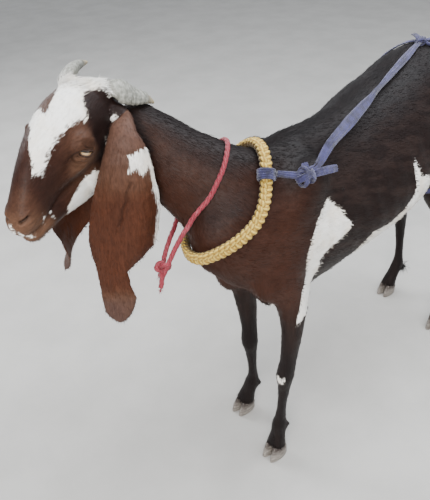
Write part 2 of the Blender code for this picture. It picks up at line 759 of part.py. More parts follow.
# Each ear ring: share of the length, front width, rear width, half thickness, curl, rear fold
EAR_RINGS = {
    "root": (0.000, 0.0130, 0.0130, 0.0120, 0.0, 0.0),
    "cup": (0.060, 0.0200, 0.0200, 0.0105, 0.3, 0.0),
    "top": (0.140, 0.0270, 0.0400, 0.0052, 0.6, 0.2),
    "upper": (0.290, 0.0400, 0.0590, 0.0030, 0.6, 0.5),
    "broad": (0.450, 0.0540, 0.0750, 0.0026, 0.6, 0.6),
    "lower": (0.610, 0.0570, 0.0590, 0.0025, 0.5, 0.5),
    "notch": (0.720, 0.0440, 0.0120, 0.0025, 0.4, 0.1),
    "lobe": (0.860, 0.0330, 0.0280, 0.0027, 0.3, 0.0),
    "tip": (0.960, 0.0240, 0.0190, 0.0024, 0.2, 0.0),
    "end": (1.000, 0.0050, 0.0050, 0.0012, 0.1, 0.0),
}
# How each ear hangs, for the left and the right one
EARS = {
    "left": {
        "side": 1,
        "broad across": Vector((0.74, 0.67, -0.02)),  # from the front edge to the rear edge
        "lobe across": Vector((0.74, 0.67, -0.02)),
        "push": Vector((0.046, -0.044, 0.0)),  # how far the root holds it off the head
        "swing": Vector((-0.032, -0.036, 0)),  # how far the tip swings
        "lobe lean": Vector((0, 0, 0)),
    },
    "right": {
        "side": -1,
        "broad across": Vector((-0.30, 0.95, 0.0)),
        "lobe across": Vector((-0.80, 0.60, 0.0)),
        "push": Vector((-0.022, -0.002, 0.0)),
        "swing": Vector((0.050, -0.041, 0)),
        "lobe lean": Vector((-0.058, 0.012, 0.046)),
    },
}
LOBE_START = 0.72  # share of the length
EAR_ROOT_SHARE = 0.09  # how much of the length it takes to turn from the root to straight down
EAR_SIDE_POINTS = 5
EAR_EDGE = 0.0006  # half thickness at an edge


def ear_line(hang, shares):
    """The middle of the ear at each share of its length, and the way that its root points."""
    side = hang["side"]
    way = HEAD_TURN @ sided(EAR_WAY, side)
    root = HEAD @ (sided(EAR_STUB, side) + sided(EAR_WAY, side) * EAR_STUB_REACH * STUB_CUT) + way * CUT_GAP
    line = []
    for t in shares:
        turned = 1 - math.exp(-t / EAR_ROOT_SHARE)
        fall = Vector((0, 0, EAR_LENGTH * (t - EAR_ROOT_SHARE * turned)))
        lobe = max(0, t - LOBE_START) / (1 - LOBE_START)
        line.append(root + hang["push"] * turned + hang["swing"] * t**1.3 + hang["lobe lean"] * lobe - fall)
    return line, way


def ear(name):
    """A long drooping ear: a cupped root that opens into a thin broad flap with a fold and a small lobe."""
    hang = EARS[name]
    rows = catmull(list(EAR_RINGS.values()), 2)
    centres, way = ear_line(hang, rows[:, 0])
    last = len(rows) - 1
    rings = []
    for i, (t, front, rear, half, curl, fold) in enumerate(rows):
        along = (centres[min(i + 1, last)] - centres[i - 1]).normalized() if i else way
        across = hang["broad across"].lerp(hang["lobe across"], min(1, max(0, t - 0.6) / 0.2))
        width = (across - along * across.dot(along)).normalized()
        face = along.cross(width) * hang["side"]
        runs = []
        for sign, reach in ((-1, front), (1, rear)):
            x = y = 0.0
            run = []
            for k in range(EAR_SIDE_POINTS):
                s = (k + 0.5) / EAR_SIDE_POINTS
                angle = curl * s
                if sign > 0:
                    angle += fold * min(1, max(0, (s - 0.25) * 3))
                x += reach / EAR_SIDE_POINTS * math.cos(angle)
                y -= reach / EAR_SIDE_POINTS * math.sin(angle)
                run.append((sign * x, y, (k + 1) / EAR_SIDE_POINTS, angle * sign))
            runs.append(run)
        outer, inner = [], []
        for x, y, s, angle in [*reversed(runs[0]), (0, 0, 0, 0), *runs[1]]:
            edge = EAR_EDGE if 0 < i < last else EAR_EDGE / 2
            thick = max(half * math.sqrt(max(0, 1 - s * s)), edge)
            normal = width * math.sin(angle) + face * math.cos(angle)
            point = centres[i] + width * x + face * y
            outer.append(point + normal * thick)
            inner.append(point - normal * thick)
        rings.append(outer + inner[::-1])
    return new_object("ear_" + name, mesh_of("ear_" + name, *bridge(rings)))


# Horn stations in the head's frame on the left half: centre, width along the head, thickness
LEFT_HORN = {
    "base": (0.0, 0.0132, 0.0098),
    "low": ((0.0506, -0.0180, -0.0042), 0.0176, 0.0090),
    "bend": ((0.0570, -0.0345, -0.0240), 0.0148, 0.0078),
    "high": ((0.0640, -0.0550, -0.0430), 0.0096, 0.0056),
    "tip": ((0.0650, -0.0730, -0.0660), 0.0025, 0.0020),
}
RIGHT_HORN = {
    "base": (0.0, 0.0155, 0.0105),
    "low": ((-0.0420, -0.0260, 0.0010), 0.0185, 0.0105),
    "bend": ((-0.0480, -0.0460, -0.0040), 0.0145, 0.0082),
    "high": ((-0.0530, -0.0680, -0.0120), 0.0090, 0.0058),
    "tip": ((-0.0560, -0.0900, -0.0220), 0.0025, 0.0020),
}
HORN_RIDGE = 0.0005
HORN_STEPS = 5


def horn(name, side, table):
    """A flat horn that sweeps back and out, ringed by low ridges."""
    way = sided(HORN_WAY, side)
    base = sided(HORN_STUB, side) + way * (HORN_STUB_REACH * STUB_CUT + CUT_GAP)
    rows = []
    for key, row in table.items():
        centre = base if key == "base" else Vector(row[0])
        rows.append((*centre, *row[1:]))
    rows = catmull(rows, HORN_STEPS)
    rings = []
    for i, row in enumerate(rows):
        tangent = Vector(rows[min(i + 1, len(rows) - 1)][:3] - rows[max(i - 1, 0)][:3]).normalized()
        along = way.lerp(tangent, min(1, i / HORN_STEPS)).normalized()
        flat = Vector((side * 0.80, -0.10, 0.60))
        flat = (flat - along * flat.dot(along)).normalized()
        wide = along.cross(flat)
        ridge = HORN_RIDGE * (1 if i % 2 else -1) if 0 < i < len(rows) - 4 else 0
        ring = []
        for k in range(12):
            a = 2 * math.pi * k / 12
            offset = wide * (row[3] + ridge) * math.cos(a) + flat * (row[4] + ridge) * math.sin(a)
            ring.append(HEAD @ (Vector(row[:3]) + offset))
        rings.append(ring)
    return new_object(name, mesh_of(name, *bridge(rings)))


CLAW_LENGTH = 0.050
CLAW_WIDTH = 0.0205
CLAW_CLEFT = 0.0016  # between the two claws at the sole


def claw(name, foot, side):
    """One half of a cloven hoof, with a straight inner wall, a round outer wall and a pointed toe."""
    centre = place_on_leg(foot, CORONET_HEIGHT)
    sole = place_on_leg(foot, 0.012)
    tilt = Vector(CORONET_TILT).normalized()
    outline = []
    for i in range(14):
        a = 2 * math.pi * i / 14
        x = 0.5 + 0.5 * math.cos(a)
        y = math.sin(a)
        # a D shape: flat at the cleft, fuller to the outside, narrower at the toe
        x = x**0.75 * (1 - 0.16 * max(0, -y)) if x > 0 else 0
        outline.append((x, y))
    rings = []
    for height, long, wide in ((0.0, 0.94, 0.92), (0.0025, 1.0, 1.0), (0.016, 0.90, 0.99), (None, 0.74, 0.95)):
        ring = []
        for x, y in outline:
            level = 0.0 if height is None else height
            forward = 0.004 * (level / 0.03 - 1)
            px = sole.x + side * (CLAW_CLEFT / 2 + CLAW_WIDTH * wide * x)
            py = sole.y - 0.001 + forward + 0.5 * CLAW_LENGTH * long * y
            if height is None:
                px = centre.x + side * (CLAW_CLEFT / 2 + CLAW_WIDTH * wide * x)
                py = centre.y + 0.5 * CLAW_LENGTH * long * y
                down = centre - tilt * CUT_GAP
                level = down.z - (tilt.y * (py - down.y)) / tilt.z
            ring.append(Vector((px, py, level)))
        rings.append(ring)
    return new_object(name, mesh_of(name, *bridge(rings)))


# What the goat wears


def skin_tree(obj):
    points = [v.co.copy() for v in obj.data.vertices]
    return BVHTree.FromPolygons(points, [tuple(f.vertices) for f in obj.data.polygons])


def lift_clear(tree, point, radius):
    """The point, moved off the skin until a ball of that radius clears it."""
    for _ in range(6):
        place, normal, _, away = tree.find_nearest(point)
        if away >= radius + REST_GAP - 1e-5:
            break
        way = point - place
        way = way.normalized() if way.dot(normal) > 0 and away > 1e-5 else normal
        point = place + way * (radius + REST_GAP)
    return point


def ring_round(tree, centre, normal, count, radius, slack=0.0, extra=(), search=0.22, slide=None):
    """A taut closed line round the skin in a plane, with extra points that it also passes round.

    Slide gives how far the line is drawn out of the plane, by the way from the centre.
    """
    centre, normal = Vector(centre), Vector(normal).normalized()
    across = Vector((1, 0, 0))
    across = (across - normal * across.dot(normal)).normalized()
    up = normal.cross(across)
    reach = np.zeros(count)
    ways, middles = [], []
    for k in range(count):
        a = 2 * math.pi * k / count
        way = across * math.cos(a) + up * math.sin(a)
        middle = centre + normal * (slide(way) if slide else 0)
        ways.append(way)
        middles.append(middle)
        hit = tree.ray_cast(middle, way, search)[0]
        reach[k] = (hit - middle).length if hit else 0.05
    for point in extra:
        flat = point - centre
        a = math.atan2(flat.dot(up), flat.dot(across)) % (2 * math.pi)
        k = int(round(a / (2 * math.pi) * count)) % count
        reach[k] = max(reach[k], Vector((flat.dot(across), flat.dot(up))).length)
    half_turn = math.cos(2 * math.pi / count)
    for _ in range(400):
        before, after = np.roll(reach, 1), np.roll(reach, -1)
        reach = np.maximum(reach, 2 * before * after * half_turn / (before + after))
    points = [middle + way * (r + radius + slack) for middle, way, r in zip(middles, ways, reach)]
    return [lift_clear(tree, p, radius) for p in points], ways


def tube(name, points, radii, sides=8, closed=False, shape=None):
    """A round cord along points; shape changes the radius by its place along and around."""
    count = len(points)
    rings = []
    side = Vector((0, 0, 1))
    for i, point in enumerate(points):
        before = points[i - 1] if closed or i else point
        after = points[(i + 1) % count] if closed or i < count - 1 else point
        along = (after - before).normalized()
        side = (side - along * side.dot(along)).normalized()
        other = along.cross(side)
        ring = []
        for k in range(sides):
            a = 2 * math.pi * k / sides
            r = radii[i] * (shape(i, a) if shape else 1)
            ring.append(point + side * r * math.cos(a) + other * r * math.sin(a))
        rings.append(ring)
    if closed:
        rings = straighten_twist(rings)
    return new_object(name, mesh_of(name, *bridge(rings, closed)))


def straighten_twist(rings):
    """Turns the rings little by little so that the last one meets the first."""
    sides = len(rings[0])
    first, last = rings[0], rings[-1]
    def misfit(step):
        return sum((last[(k + step) % sides] - first[k]).length for k in range(sides))

    shift = min(range(sides), key=misfit)
    if shift > sides / 2:
        shift -= sides
    turned = []
    for i, ring in enumerate(rings):
        s = int(round(shift * i / (len(rings) - 1)))
        turned.append([ring[(k + s) % sides] for k in range(sides)])
    return turned


def ribbon(name, points, outs, half_width, thickness, closed=False):
    """A flat strap along points, lying face down on the skin."""
    count = len(points)
    rings = []
    for i, point in enumerate(points):
        before = points[i - 1] if closed or i else point
        after = points[(i + 1) % count] if closed or i < count - 1 else point
        along = (after - before).normalized()
        out = (outs[i] - along * outs[i].dot(along)).normalized()
        wide = along.cross(out)
        ring = []
        for x, y in ((-1, -0.7), (-1, 0.7), (0, 1), (1, 0.7), (1, -0.7), (0, -1)):
            ring.append(point + wide * half_width * x + out * thickness / 2 * y)
        rings.append(ring)
    return new_object(name, mesh_of(name, *bridge(rings, closed)))


COLLAR_CENTRE = (-0.023, -0.103, 0.645)
COLLAR_NORMAL = (-0.55, -0.55, 0.63)
COLLAR_RADIUS = 0.0112
COLLAR_COUNT = 54
COLLAR_DRAWN = 0.052  # how far the strap draws its left side back
COLLAR_DRAWN_WAY = Vector((0.80, -0.50, 0.28)).normalized()
LOOP_CENTRE = (-0.043, -0.125, 0.665)
LOOP_NORMAL = (-0.47, -0.71, 0.56)
LOOP_RADIUS = 0.0042
LOOP_COUNT = 56
LOOP_FACES = 640
LOOP_KNOT = Vector((-0.020, -0.243, 0.566))
LOOP_FREE_TURN = 55  # degrees either side of the knot where the loop hangs free
LOIN_CENTRE = (0, 0.417, 0.600)
LOIN_NORMAL = (0, 1, -0.16)
STRAP_HALF_WIDTH = 0.0085
STRAP_THICKNESS = 0.0028
STRAP_START = Vector((0.080, -0.016, 0.684))
STRAP_END = Vector((0.000, 0.430, 0.760))
STRAP_COUNT = 32
STRAP_END_GAP = 0.0036  # clear of the loin loop, which runs a little aslant
LOIN_HALF_WIDTH = 0.0068
LOIN_COUNT = 64
LOIN_GAP = 0.0020  # the band bridges the hollows of the flank
WRAP_TURN = 100  # degrees either side of the collar's outer face
WRAP_STEPS = 12
WRAP_HALF_WIDTH = 0.0075
WRAP_GAP = 0.0011  # between the cloth and what it lies on
KNOT_SIZE = 0.016
# Each lump of the knot: forward, across and up from its middle, radii, all in knot sizes, and its turn
KNOT_LUMPS = (
    (0.00, 0.00, 0.10, (0.70, 0.62, 0.60), (0, 20, 0)),
    (0.35, 0.45, 0.05, (0.42, 0.66, 0.40), (30, 0, 20)),
    (0.20, -0.50, 0.00, (0.46, 0.60, 0.42), (-20, 0, -30)),
    (-0.45, 0.10, 0.05, (0.60, 0.40, 0.40), (0, 30, 10)),
)
TAIL_WAY = Vector((0.42, 0.80, -0.42)).normalized()
TAIL_LENGTH = 0.048
CLOTH_VOXEL = 0.0013
CLOTH_FACES = 1150


def plait(i, a):
    """The bulges of a three-strand plait, one side half a step behind the other."""
    step = i * 2 * math.pi / 3 + (math.pi if math.cos(a) > 0 else 0)
    return 0.93 + 0.07 * math.cos(step)


def collar_slide(way):
    return -COLLAR_DRAWN * max(0, way.dot(COLLAR_DRAWN_WAY)) ** 1.5


def collar(tree):
    """A braided cord round the root of the neck, drawn back on its left side by the strap."""
    points, ways = ring_round(
        tree, COLLAR_CENTRE, COLLAR_NORMAL, COLLAR_COUNT, COLLAR_RADIUS, slack=0.001, slide=collar_slide
    )
    return tube("collar", points, [COLLAR_RADIUS] * len(points), 8, True, plait), points, ways


def neck_loop(tree):
    """A thin cord round the neck, drawn forward under the throat to its knot, with two short ends."""
    centre, normal = Vector(LOOP_CENTRE), Vector(LOOP_NORMAL).normalized()
    knot = LOOP_KNOT
    lean = (knot - centre).dot(normal)
    points, ways = ring_round(tree, centre, normal, LOOP_COUNT, LOOP_RADIUS, extra=(knot - normal * lean,))
    to_knot = (knot - normal * lean - centre).normalized()
    for k, way in enumerate(ways):
        turn = math.degrees(way.angle(to_knot))
        raised = normal * lean * max(0, 1 - turn / LOOP_FREE_TURN)
        points[k] = lift_clear(tree, points[k] + raised, LOOP_RADIUS)
    knot = points[max(range(LOOP_COUNT), key=lambda k: ways[k].dot(to_knot))]
    pieces = [tube("cord", points, [LOOP_RADIUS] * len(points), 8, True)]
    lumps = (
        ((0, 0, 0), (0.0105, 0.0085, 0.0095), (20, 0, 10)),
        ((0.007, -0.003, -0.006), (0.0075, 0.0065, 0.0085), (0, 30, 0)),
        ((-0.006, 0.002, -0.007), (0.0070, 0.0065, 0.0080), (0, -30, 20)),
    )
    for offset, radii, turn in lumps:
        pieces.append(blob("knot", knot + Vector(offset), radii, turn))
    for way, length in ((Vector((0.25, -0.45, -0.86)), 0.032), (Vector((-0.50, 0.05, -0.86)), 0.024)):
        line = [knot + way.normalized() * length * k / 4 for k in range(5)]
        pieces.append(tube("end", line, [LOOP_RADIUS * 1.1] * 5, 8))
    loop = remesh(joined("neck_loop", pieces), 0.0016, smooth=1)
    return thin_out(loop, LOOP_FACES)


def over_skin(tree, start, end, count, height):
    """A taut line over the skin between two places, kept that high, and the way out all along it."""
    along = (end - start).normalized()
    normal = tree.find_nearest((start + end) / 2)[1]
    out = (normal - along * normal.dot(along)).normalized()
    rise = np.zeros(count)
    for k in range(count):
        base = start.lerp(end, k / (count - 1))
        hit = tree.ray_cast(base + out * 0.15, -out, 0.30)[0]
        if hit:
            rise[k] = (hit - base).dot(out)
    for _ in range(600):
        rise[1:-1] = np.maximum(rise[1:-1], (rise[:-2] + rise[2:]) / 2)
    points = [start.lerp(end, k / (count - 1)) + out * rise[k] for k in range(count)]
    normals = [tree.find_nearest(p)[1] for p in points]
    outs = []
    for k in range(count):
        near = normals[max(0, k - 3) : k + 4]
        outs.append(sum(near, Vector()).normalized())
    return [lift_clear(tree, p + o * height, height) for p, o in zip(points, outs)], outs


def shortfall(tree, point, gap):
    """How far a point still has to move, and which way, to stand that gap clear of the surface."""
    place, normal, _, away = tree.find_nearest(point)
    inside = (point - place).dot(normal) < -0.2 * away
    return max(0, gap + (away if inside else -away)), normal


def rest_on(obj, tree, gap):
    """Moves out whatever of the piece would lie in the skin, with the middles of its edges and faces."""
    points = [v.co.copy() for v in obj.data.vertices]
    spans = [(i,) for i in range(len(points))]
    spans += [tuple(e.vertices) for e in obj.data.edges] + [tuple(f.vertices) for f in obj.data.polygons]
    for span in spans:
        middle = sum((points[i] for i in span), Vector()) / len(span)
        short, normal = shortfall(tree, middle, gap)
        if short > 0:
            for i in span:
                points[i] += normal * short
    for v, point in zip(obj.data.vertices, points):
        v.co = point
    obj.data.update()


def collar_wrap(place, out, along):
    """The turn of cloth round the outer side of the collar."""
    other = along.cross(out)
    points, outs = [], []
    for k in range(WRAP_STEPS + 1):
        a = math.radians(WRAP_TURN) * (2 * k / WRAP_STEPS - 1)
        way = out * math.cos(a) + other * math.sin(a)
        points.append(place + way * (COLLAR_RADIUS + CUT_GAP * 2 + STRAP_THICKNESS / 2))
        outs.append(way)
    return ribbon("wrap", points, outs, WRAP_HALF_WIDTH, STRAP_THICKNESS), points


def strap_pieces(tree, band, collar_points, collar_ways):
    """The cloth strap: tied to the collar, knotted, run over the back and tied at the loin's loop."""
    loin, ways = ring_round(tree, LOIN_CENTRE, LOIN_NORMAL, LOIN_COUNT, STRAP_THICKNESS / 2, slack=LOIN_GAP)
    loop = ribbon("loin_loop", loin, ways, LOIN_HALF_WIDTH, STRAP_THICKNESS, True)
    rest_on(loop, tree, LOIN_GAP)
    top = min(loin, key=lambda p: (p - STRAP_END).length)
    height = STRAP_THICKNESS + REST_GAP
    points, outs = over_skin(tree, STRAP_START, top, STRAP_COUNT, height)
    along = (points[1] - points[0]).normalized()
    last_way = (points[-1] - points[-2]).normalized()
    pieces = [ribbon("run", points, outs, STRAP_HALF_WIDTH, STRAP_THICKNESS)]
    near = min(range(len(collar_points)), key=lambda k: (collar_points[k] - STRAP_START).length)
    cord_way = (collar_points[(near + 1) % COLLAR_COUNT] - collar_points[near - 1]).normalized()
    wrap, wrap_points = collar_wrap(collar_points[near], collar_ways[near], cord_way)
    pieces.append(wrap)
    knot = points[0] - along * KNOT_SIZE + outs[0] * KNOT_SIZE * 0.35
    wrap_end = min((wrap_points[1], wrap_points[-2]), key=lambda p: (p - knot).length)
    link = [wrap_end.lerp(knot, t / 4) for t in range(5)]
    pieces.append(ribbon("link", link, [outs[0]] * 5, STRAP_HALF_WIDTH * 0.7, STRAP_THICKNESS))
    side = along.cross(outs[0])
    for forward, across, up, radii, turn in KNOT_LUMPS:
        place = knot + (along * forward + side * across + outs[0] * up) * KNOT_SIZE
        pieces.append(blob("lump", place, [r * KNOT_SIZE for r in radii], turn))
    tail_end = knot + along * 0.012 + TAIL_WAY * TAIL_LENGTH
    tail, tail_outs = over_skin(tree, knot, tail_end, 8, height)
    pieces.append(ribbon("free_end", tail, tail_outs, STRAP_HALF_WIDTH * 0.8, STRAP_THICKNESS))
    end_knot = points[-1] - last_way * (LOIN_HALF_WIDTH + KNOT_SIZE * 0.4)
    pieces.append(blob("end_knot", end_knot, (KNOT_SIZE * 0.55, KNOT_SIZE * 0.6, KNOT_SIZE * 0.5)))
    cloth = thin_out(remesh(joined("cloth", pieces), CLOTH_VOXEL, smooth=2), CLOTH_FACES)
    for _ in range(2):
        for below in (tree, skin_tree(band), skin_tree(loop)):
            rest_on(cloth, below, WRAP_GAP)
    bm = bmesh.new()
    bm.from_mesh(cloth.data)
    part_flesh(bm, points[0] + along * 0.004, along)
    part_flesh(bm, points[-1] - last_way * (LOIN_HALF_WIDTH + STRAP_END_GAP), last_way)
    found = islands(bm)
    made = {"loin_loop": loop}
    for name, place in (("strap_knot", knot), ("strap", points[STRAP_COUNT // 2])):
        nearest = min(found, key=lambda group: (box_middle(group) - place).length)
        made[name] = take_island(bm, name, nearest)
    bm.free()
    drop_objects([cloth])
    return made


# Materials: colour, roughness
COATS = {
    "coat": ((0.030, 0.016, 0.011), 0.75),
    "ear": ((0.075, 0.030, 0.016), 0.75),
    "eye": ((0.45, 0.30, 0.10), 0.15),
    "horn": ((0.34, 0.31, 0.27), 0.60),
    "hoof": ((0.16, 0.14, 0.12), 0.50),
    "rope": ((0.62, 0.47, 0.16), 0.85),
    "cord": ((0.55, 0.05, 0.09), 0.80),
    "cloth": ((0.20, 0.20, 0.42), 0.90),
}


def material(key):
    found = bpy.data.materials.get(key)
    if found:
        return found
    colour, roughness = COATS[key]
    made = bpy.data.materials.new(key)
    made.use_nodes = True
    shader = made.node_tree.nodes["Principled BSDF"]
    shader.inputs["Base Color"].default_value = (*colour, 1)
    shader.inputs["Roughness"].default_value = roughness
    return made


def dress(obj, key):
    obj.data.materials.clear()
    obj.data.materials.append(material(key))
    obj.data.shade_smooth()
    obj.data.set_sharp_from_angle(angle=math.radians(50))
    return obj


def stand_at_origin(objects):
    """Moves everything so that the middle of the bottom of the whole box is at the origin."""
    points = np.vstack([coordinates(obj) for obj in objects])
    low, high = points.min(axis=0), points.max(axis=0)
    middle = (low + high) / 2
    step = Matrix.Translation((-middle[0], -middle[1], -low[2]))
    for obj in objects:
        obj.data.transform(step)
    return step.translation


def main():
    clear_scene()
    whole = whole_form()
    tree = skin_tree(whole)
    made = {name: (obj, "coat") for name, obj in flesh_pieces(whole).items()}
    for name, obj in eyes(made["head"][0]).items():
        made[name] = (obj, "eye")
    for name in EARS:
        made["ear_" + name] = (ear(name), "ear")
    made["horn_left"] = (horn("horn_left", 1, LEFT_HORN), "horn")
    made["horn_right"] = (horn("horn_right", -1, RIGHT_HORN), "horn")
    for foot in LEGS:
        for word, side in (("left", 1), ("right", -1)):
            name = "claw_" + foot + "_" + word
            made[name] = (claw(name, foot, side), "hoof")
    band, points, ways = collar(tree)
    made["collar"] = (band, "rope")
    made["neck_loop"] = (neck_loop(tree), "cord")
    for name, obj in strap_pieces(tree, band, points, ways).items():
        made[name] = (obj, "cloth")
    for name, (obj, key) in made.items():
        obj.name = name
        dress(obj, key)
    return stand_at_origin([obj for obj, _ in made.values()])


if __name__ == "__main__":
    main()
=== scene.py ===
import math

import bmesh
import bpy
import numpy as np
from mathutils import Matrix, Vector
from mathutils.bvhtree import BVHTree


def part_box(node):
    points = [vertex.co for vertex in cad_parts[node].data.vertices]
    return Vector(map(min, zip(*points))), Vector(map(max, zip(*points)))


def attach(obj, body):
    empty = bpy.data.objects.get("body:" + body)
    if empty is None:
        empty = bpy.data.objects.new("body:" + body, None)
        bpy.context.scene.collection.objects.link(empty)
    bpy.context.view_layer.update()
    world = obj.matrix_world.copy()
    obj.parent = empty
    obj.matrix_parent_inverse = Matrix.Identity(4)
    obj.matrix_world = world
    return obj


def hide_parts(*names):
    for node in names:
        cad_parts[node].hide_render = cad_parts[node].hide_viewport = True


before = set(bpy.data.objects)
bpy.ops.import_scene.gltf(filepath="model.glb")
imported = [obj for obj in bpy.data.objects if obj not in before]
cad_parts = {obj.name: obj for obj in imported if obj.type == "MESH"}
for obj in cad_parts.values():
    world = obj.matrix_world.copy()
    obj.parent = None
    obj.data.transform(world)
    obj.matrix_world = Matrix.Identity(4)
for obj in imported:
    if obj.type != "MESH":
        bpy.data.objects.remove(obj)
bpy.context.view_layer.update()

shift = np.array((0.05735, -0.15248, 0.0))  # from the middle between the fore feet to the frame's origin
midX = shift[0]


def say(*words):
    print("goat:", *words)


# Camera and lights

viewSettings = {
    "place": (0.621, -0.701, 1.115),
    "turn": 48.3,
    "dip": 33.6,
    "roll": -3.5,
    "lens": 43.2,
    "sensor": 36.0,
}


def unit(v):
    v = np.asarray(v, float)
    return v / np.maximum(np.linalg.norm(v, axis=-1, keepdims=True), 1e-9)


def placeObject(name, data, columns=None, at=(0, 0, 0)):
    obj = bpy.data.objects.new(name, data)
    bpy.context.scene.collection.objects.link(obj)
    if columns is not None:
        matrix = Matrix([Vector(c) for c in columns]).transposed().to_4x4()
        matrix.translation = Vector(at)
        obj.matrix_world = matrix
    return obj


def makeCamera(s):
    turn, dip, roll = (math.radians(s[k]) for k in ("turn", "dip", "roll"))
    ahead = np.array((-math.sin(turn) * math.cos(dip), math.cos(turn) * math.cos(dip), -math.sin(dip)))
    level = np.array((math.cos(turn), math.sin(turn), 0))
    above = np.cross(level, ahead)
    right = math.cos(roll) * level + math.sin(roll) * above
    up = math.cos(roll) * above - math.sin(roll) * level
    data = bpy.data.cameras.new("camera")
    data.lens = s["lens"]
    data.sensor_width = s["sensor"]
    data.clip_start = 0.02
    camera = placeObject("camera", data, (right, up, -ahead), np.array(s["place"]) + shift)
    bpy.context.scene.camera = camera


makeCamera(viewSettings)

lightSettings = {
    # name: place, aimed at, size, watts, colour
    "sky": ((0.5, 0.6, 3.0), (0.05, 0.1, 0.5), 2.6, 150, (0.92, 0.96, 1.0)),
    "front": ((1.7, -2.4, 1.9), (0.0, -0.3, 0.6), 1.5, 112, (1.0, 0.965, 0.92)),
    "far side": ((-2.4, -0.6, 1.9), (0.0, -0.2, 0.6), 1.4, 54, (0.95, 0.97, 1.0)),
}


def makeLights(table):
    for name, (place, aim, size, watts, colour) in table.items():
        data = bpy.data.lights.new(name, "AREA")
        data.shape = "DISK"
        data.size = size
        data.energy = watts
        data.color = colour
        back = unit(np.array(place) - aim)
        side = unit(np.cross((0.1, 0.2, 1.0), back))
        placeObject("light." + name, data, (side, np.cross(back, side), back), place)
    world = bpy.data.worlds.new("studio")
    world.use_nodes = True
    ground = world.node_tree.nodes["Background"]
    ground.inputs["Color"].default_value = (0.86, 0.90, 0.96, 1)
    ground.inputs["Strength"].default_value = 0.70
    bpy.context.scene.world = world


makeLights(lightSettings)


# Node helpers


def setInputs(tree, node, inputs):
    for key, value in inputs.items():
        if isinstance(value, bpy.types.NodeSocket):
            tree.links.new(value, node.inputs[key])
        else:
            node.inputs[key].default_value = value
    return node


def addNode(tree, kind, inputs=None, **settings):
    made = tree.nodes.new(kind)
    for key, value in settings.items():
        setattr(made, key, value)
    return setInputs(tree, made, inputs or {})


def mathNode(tree, operation, a, b=0.0, c=0.0, clamp=False):
    made = addNode(tree, "ShaderNodeMath", {0: a, 1: b, 2: c}, operation=operation, use_clamp=clamp)
    return made.outputs[0]


def times(tree, a, b):
    return mathNode(tree, "MULTIPLY", a, b)


def plus(tree, a, b):
    return mathNode(tree, "ADD", a, b)


def scaled(tree, value, factor, moved=0.0):
    return mathNode(tree, "MULTIPLY_ADD", value, factor, moved)


def attribute(tree, name):
    return addNode(tree, "ShaderNodeAttribute", attribute_name=name).outputs


def redGreenBlue(tree, colour):
    return addNode(tree, "ShaderNodeSeparateColor", {0: colour}).outputs


def xyz(tree, vector):
    return addNode(tree, "ShaderNodeSeparateXYZ", {0: vector}).outputs


def mixColour(tree, factor, a, b, mode="MIX"):
    made = addNode(tree, "ShaderNodeMix", {0: factor, 6: a, 7: b}, data_type="RGBA", blend_type=mode)
    return made.outputs[2]


def ramp(tree, value, low, high, outLow=0.0, outHigh=1.0, smooth=True):
    kind = "SMOOTHSTEP" if smooth else "LINEAR"
    sockets = {0: value, 1: low, 2: high, 3: outLow, 4: outHigh}
    return addNode(tree, "ShaderNodeMapRange", sockets, interpolation_type=kind).outputs[0]


def noise(tree, place, scale, detail=2.0, rough=0.5):
    sockets = {"Vector": place, "Scale": scale, "Detail": detail, "Roughness": rough}
    return addNode(tree, "ShaderNodeTexNoise", sockets).outputs[0]


# A display colour from 0 to 255 as the shader's linear colour
def rgb(r, g, b):
    return (*(((c / 255 + 0.055) / 1.055) ** 2.4 if c > 10 else c / 3294 for c in (r, g, b)), 1.0)


def newMaterial(name):
    made = bpy.data.materials.new(name)
    made.use_nodes = True
    tree = made.node_tree
    return made, tree, tree.nodes["Principled BSDF"]


# A shared effect; sockets are given as name and kind
def newGroup(name, ins, outs):
    tree = bpy.data.node_groups.new(name, "ShaderNodeTree")
    for way, sockets in (("INPUT", ins), ("OUTPUT", outs)):
        for label, kind in sockets.items():
            tree.interface.new_socket(label, in_out=way, socket_type="NodeSocket" + kind)
    return tree, tree.nodes.new("NodeGroupInput").outputs, tree.nodes.new("NodeGroupOutput")


def useGroup(tree, group, inputs):
    return addNode(tree, "ShaderNodeGroup", inputs, node_tree=group).outputs


def objectPlace(tree):
    return tree.nodes.new("ShaderNodeTexCoord").outputs["Object"]


def bumped(tree, height, strength, distance):
    sockets = {"Height": height, "Strength": strength, "Distance": distance}
    return addNode(tree, "ShaderNodeBump", sockets).outputs[0]


# Mesh helpers


def settle(obj):
    bpy.context.view_layer.update()
    graph = bpy.context.evaluated_depsgraph_get()
    mesh = bpy.data.meshes.new_from_object(obj.evaluated_get(graph))
    obj.modifiers.clear()
    old = obj.data
    obj.data = mesh
    bpy.data.meshes.remove(old)
    return obj


def readOut(items, key, kind, width=1):
    values = np.empty(len(items) * width, kind)
    items.foreach_get(key, values)
    return values.reshape(-1, width) if width > 1 else values


def pointsOf(mesh):
    return readOut(mesh.vertices, "co", np.float32, 3).astype(float)


def normalsOf(mesh):
    return readOut(mesh.vertex_normals, "vector", np.float32, 3).astype(float)


def edgesOf(mesh):
    return readOut(mesh.edges, "vertices", np.int32, 2)


def cornersOf(mesh):
    return readOut(mesh.loops, "vertex_index", np.int32)


def setPoints(mesh, points):
    mesh.vertices.foreach_set("co", np.ascontiguousarray(points, np.float32).ravel())
    mesh.update()


def triangleMesh(name, points, faces):
    mesh = bpy.data.meshes.new(name)
    mesh.vertices.add(len(points))
    mesh.vertices.foreach_set("co", np.ascontiguousarray(points, np.float32).ravel())
    mesh.loops.add(len(faces) * 3)
    mesh.loops.foreach_set("vertex_index", np.ascontiguousarray(faces, np.int32).ravel())
    mesh.polygons.add(len(faces))
    mesh.polygons.foreach_set("loop_start", np.arange(0, len(faces) * 3, 3, dtype=np.int32))
    mesh.update()
    mesh.validate()
    return mesh


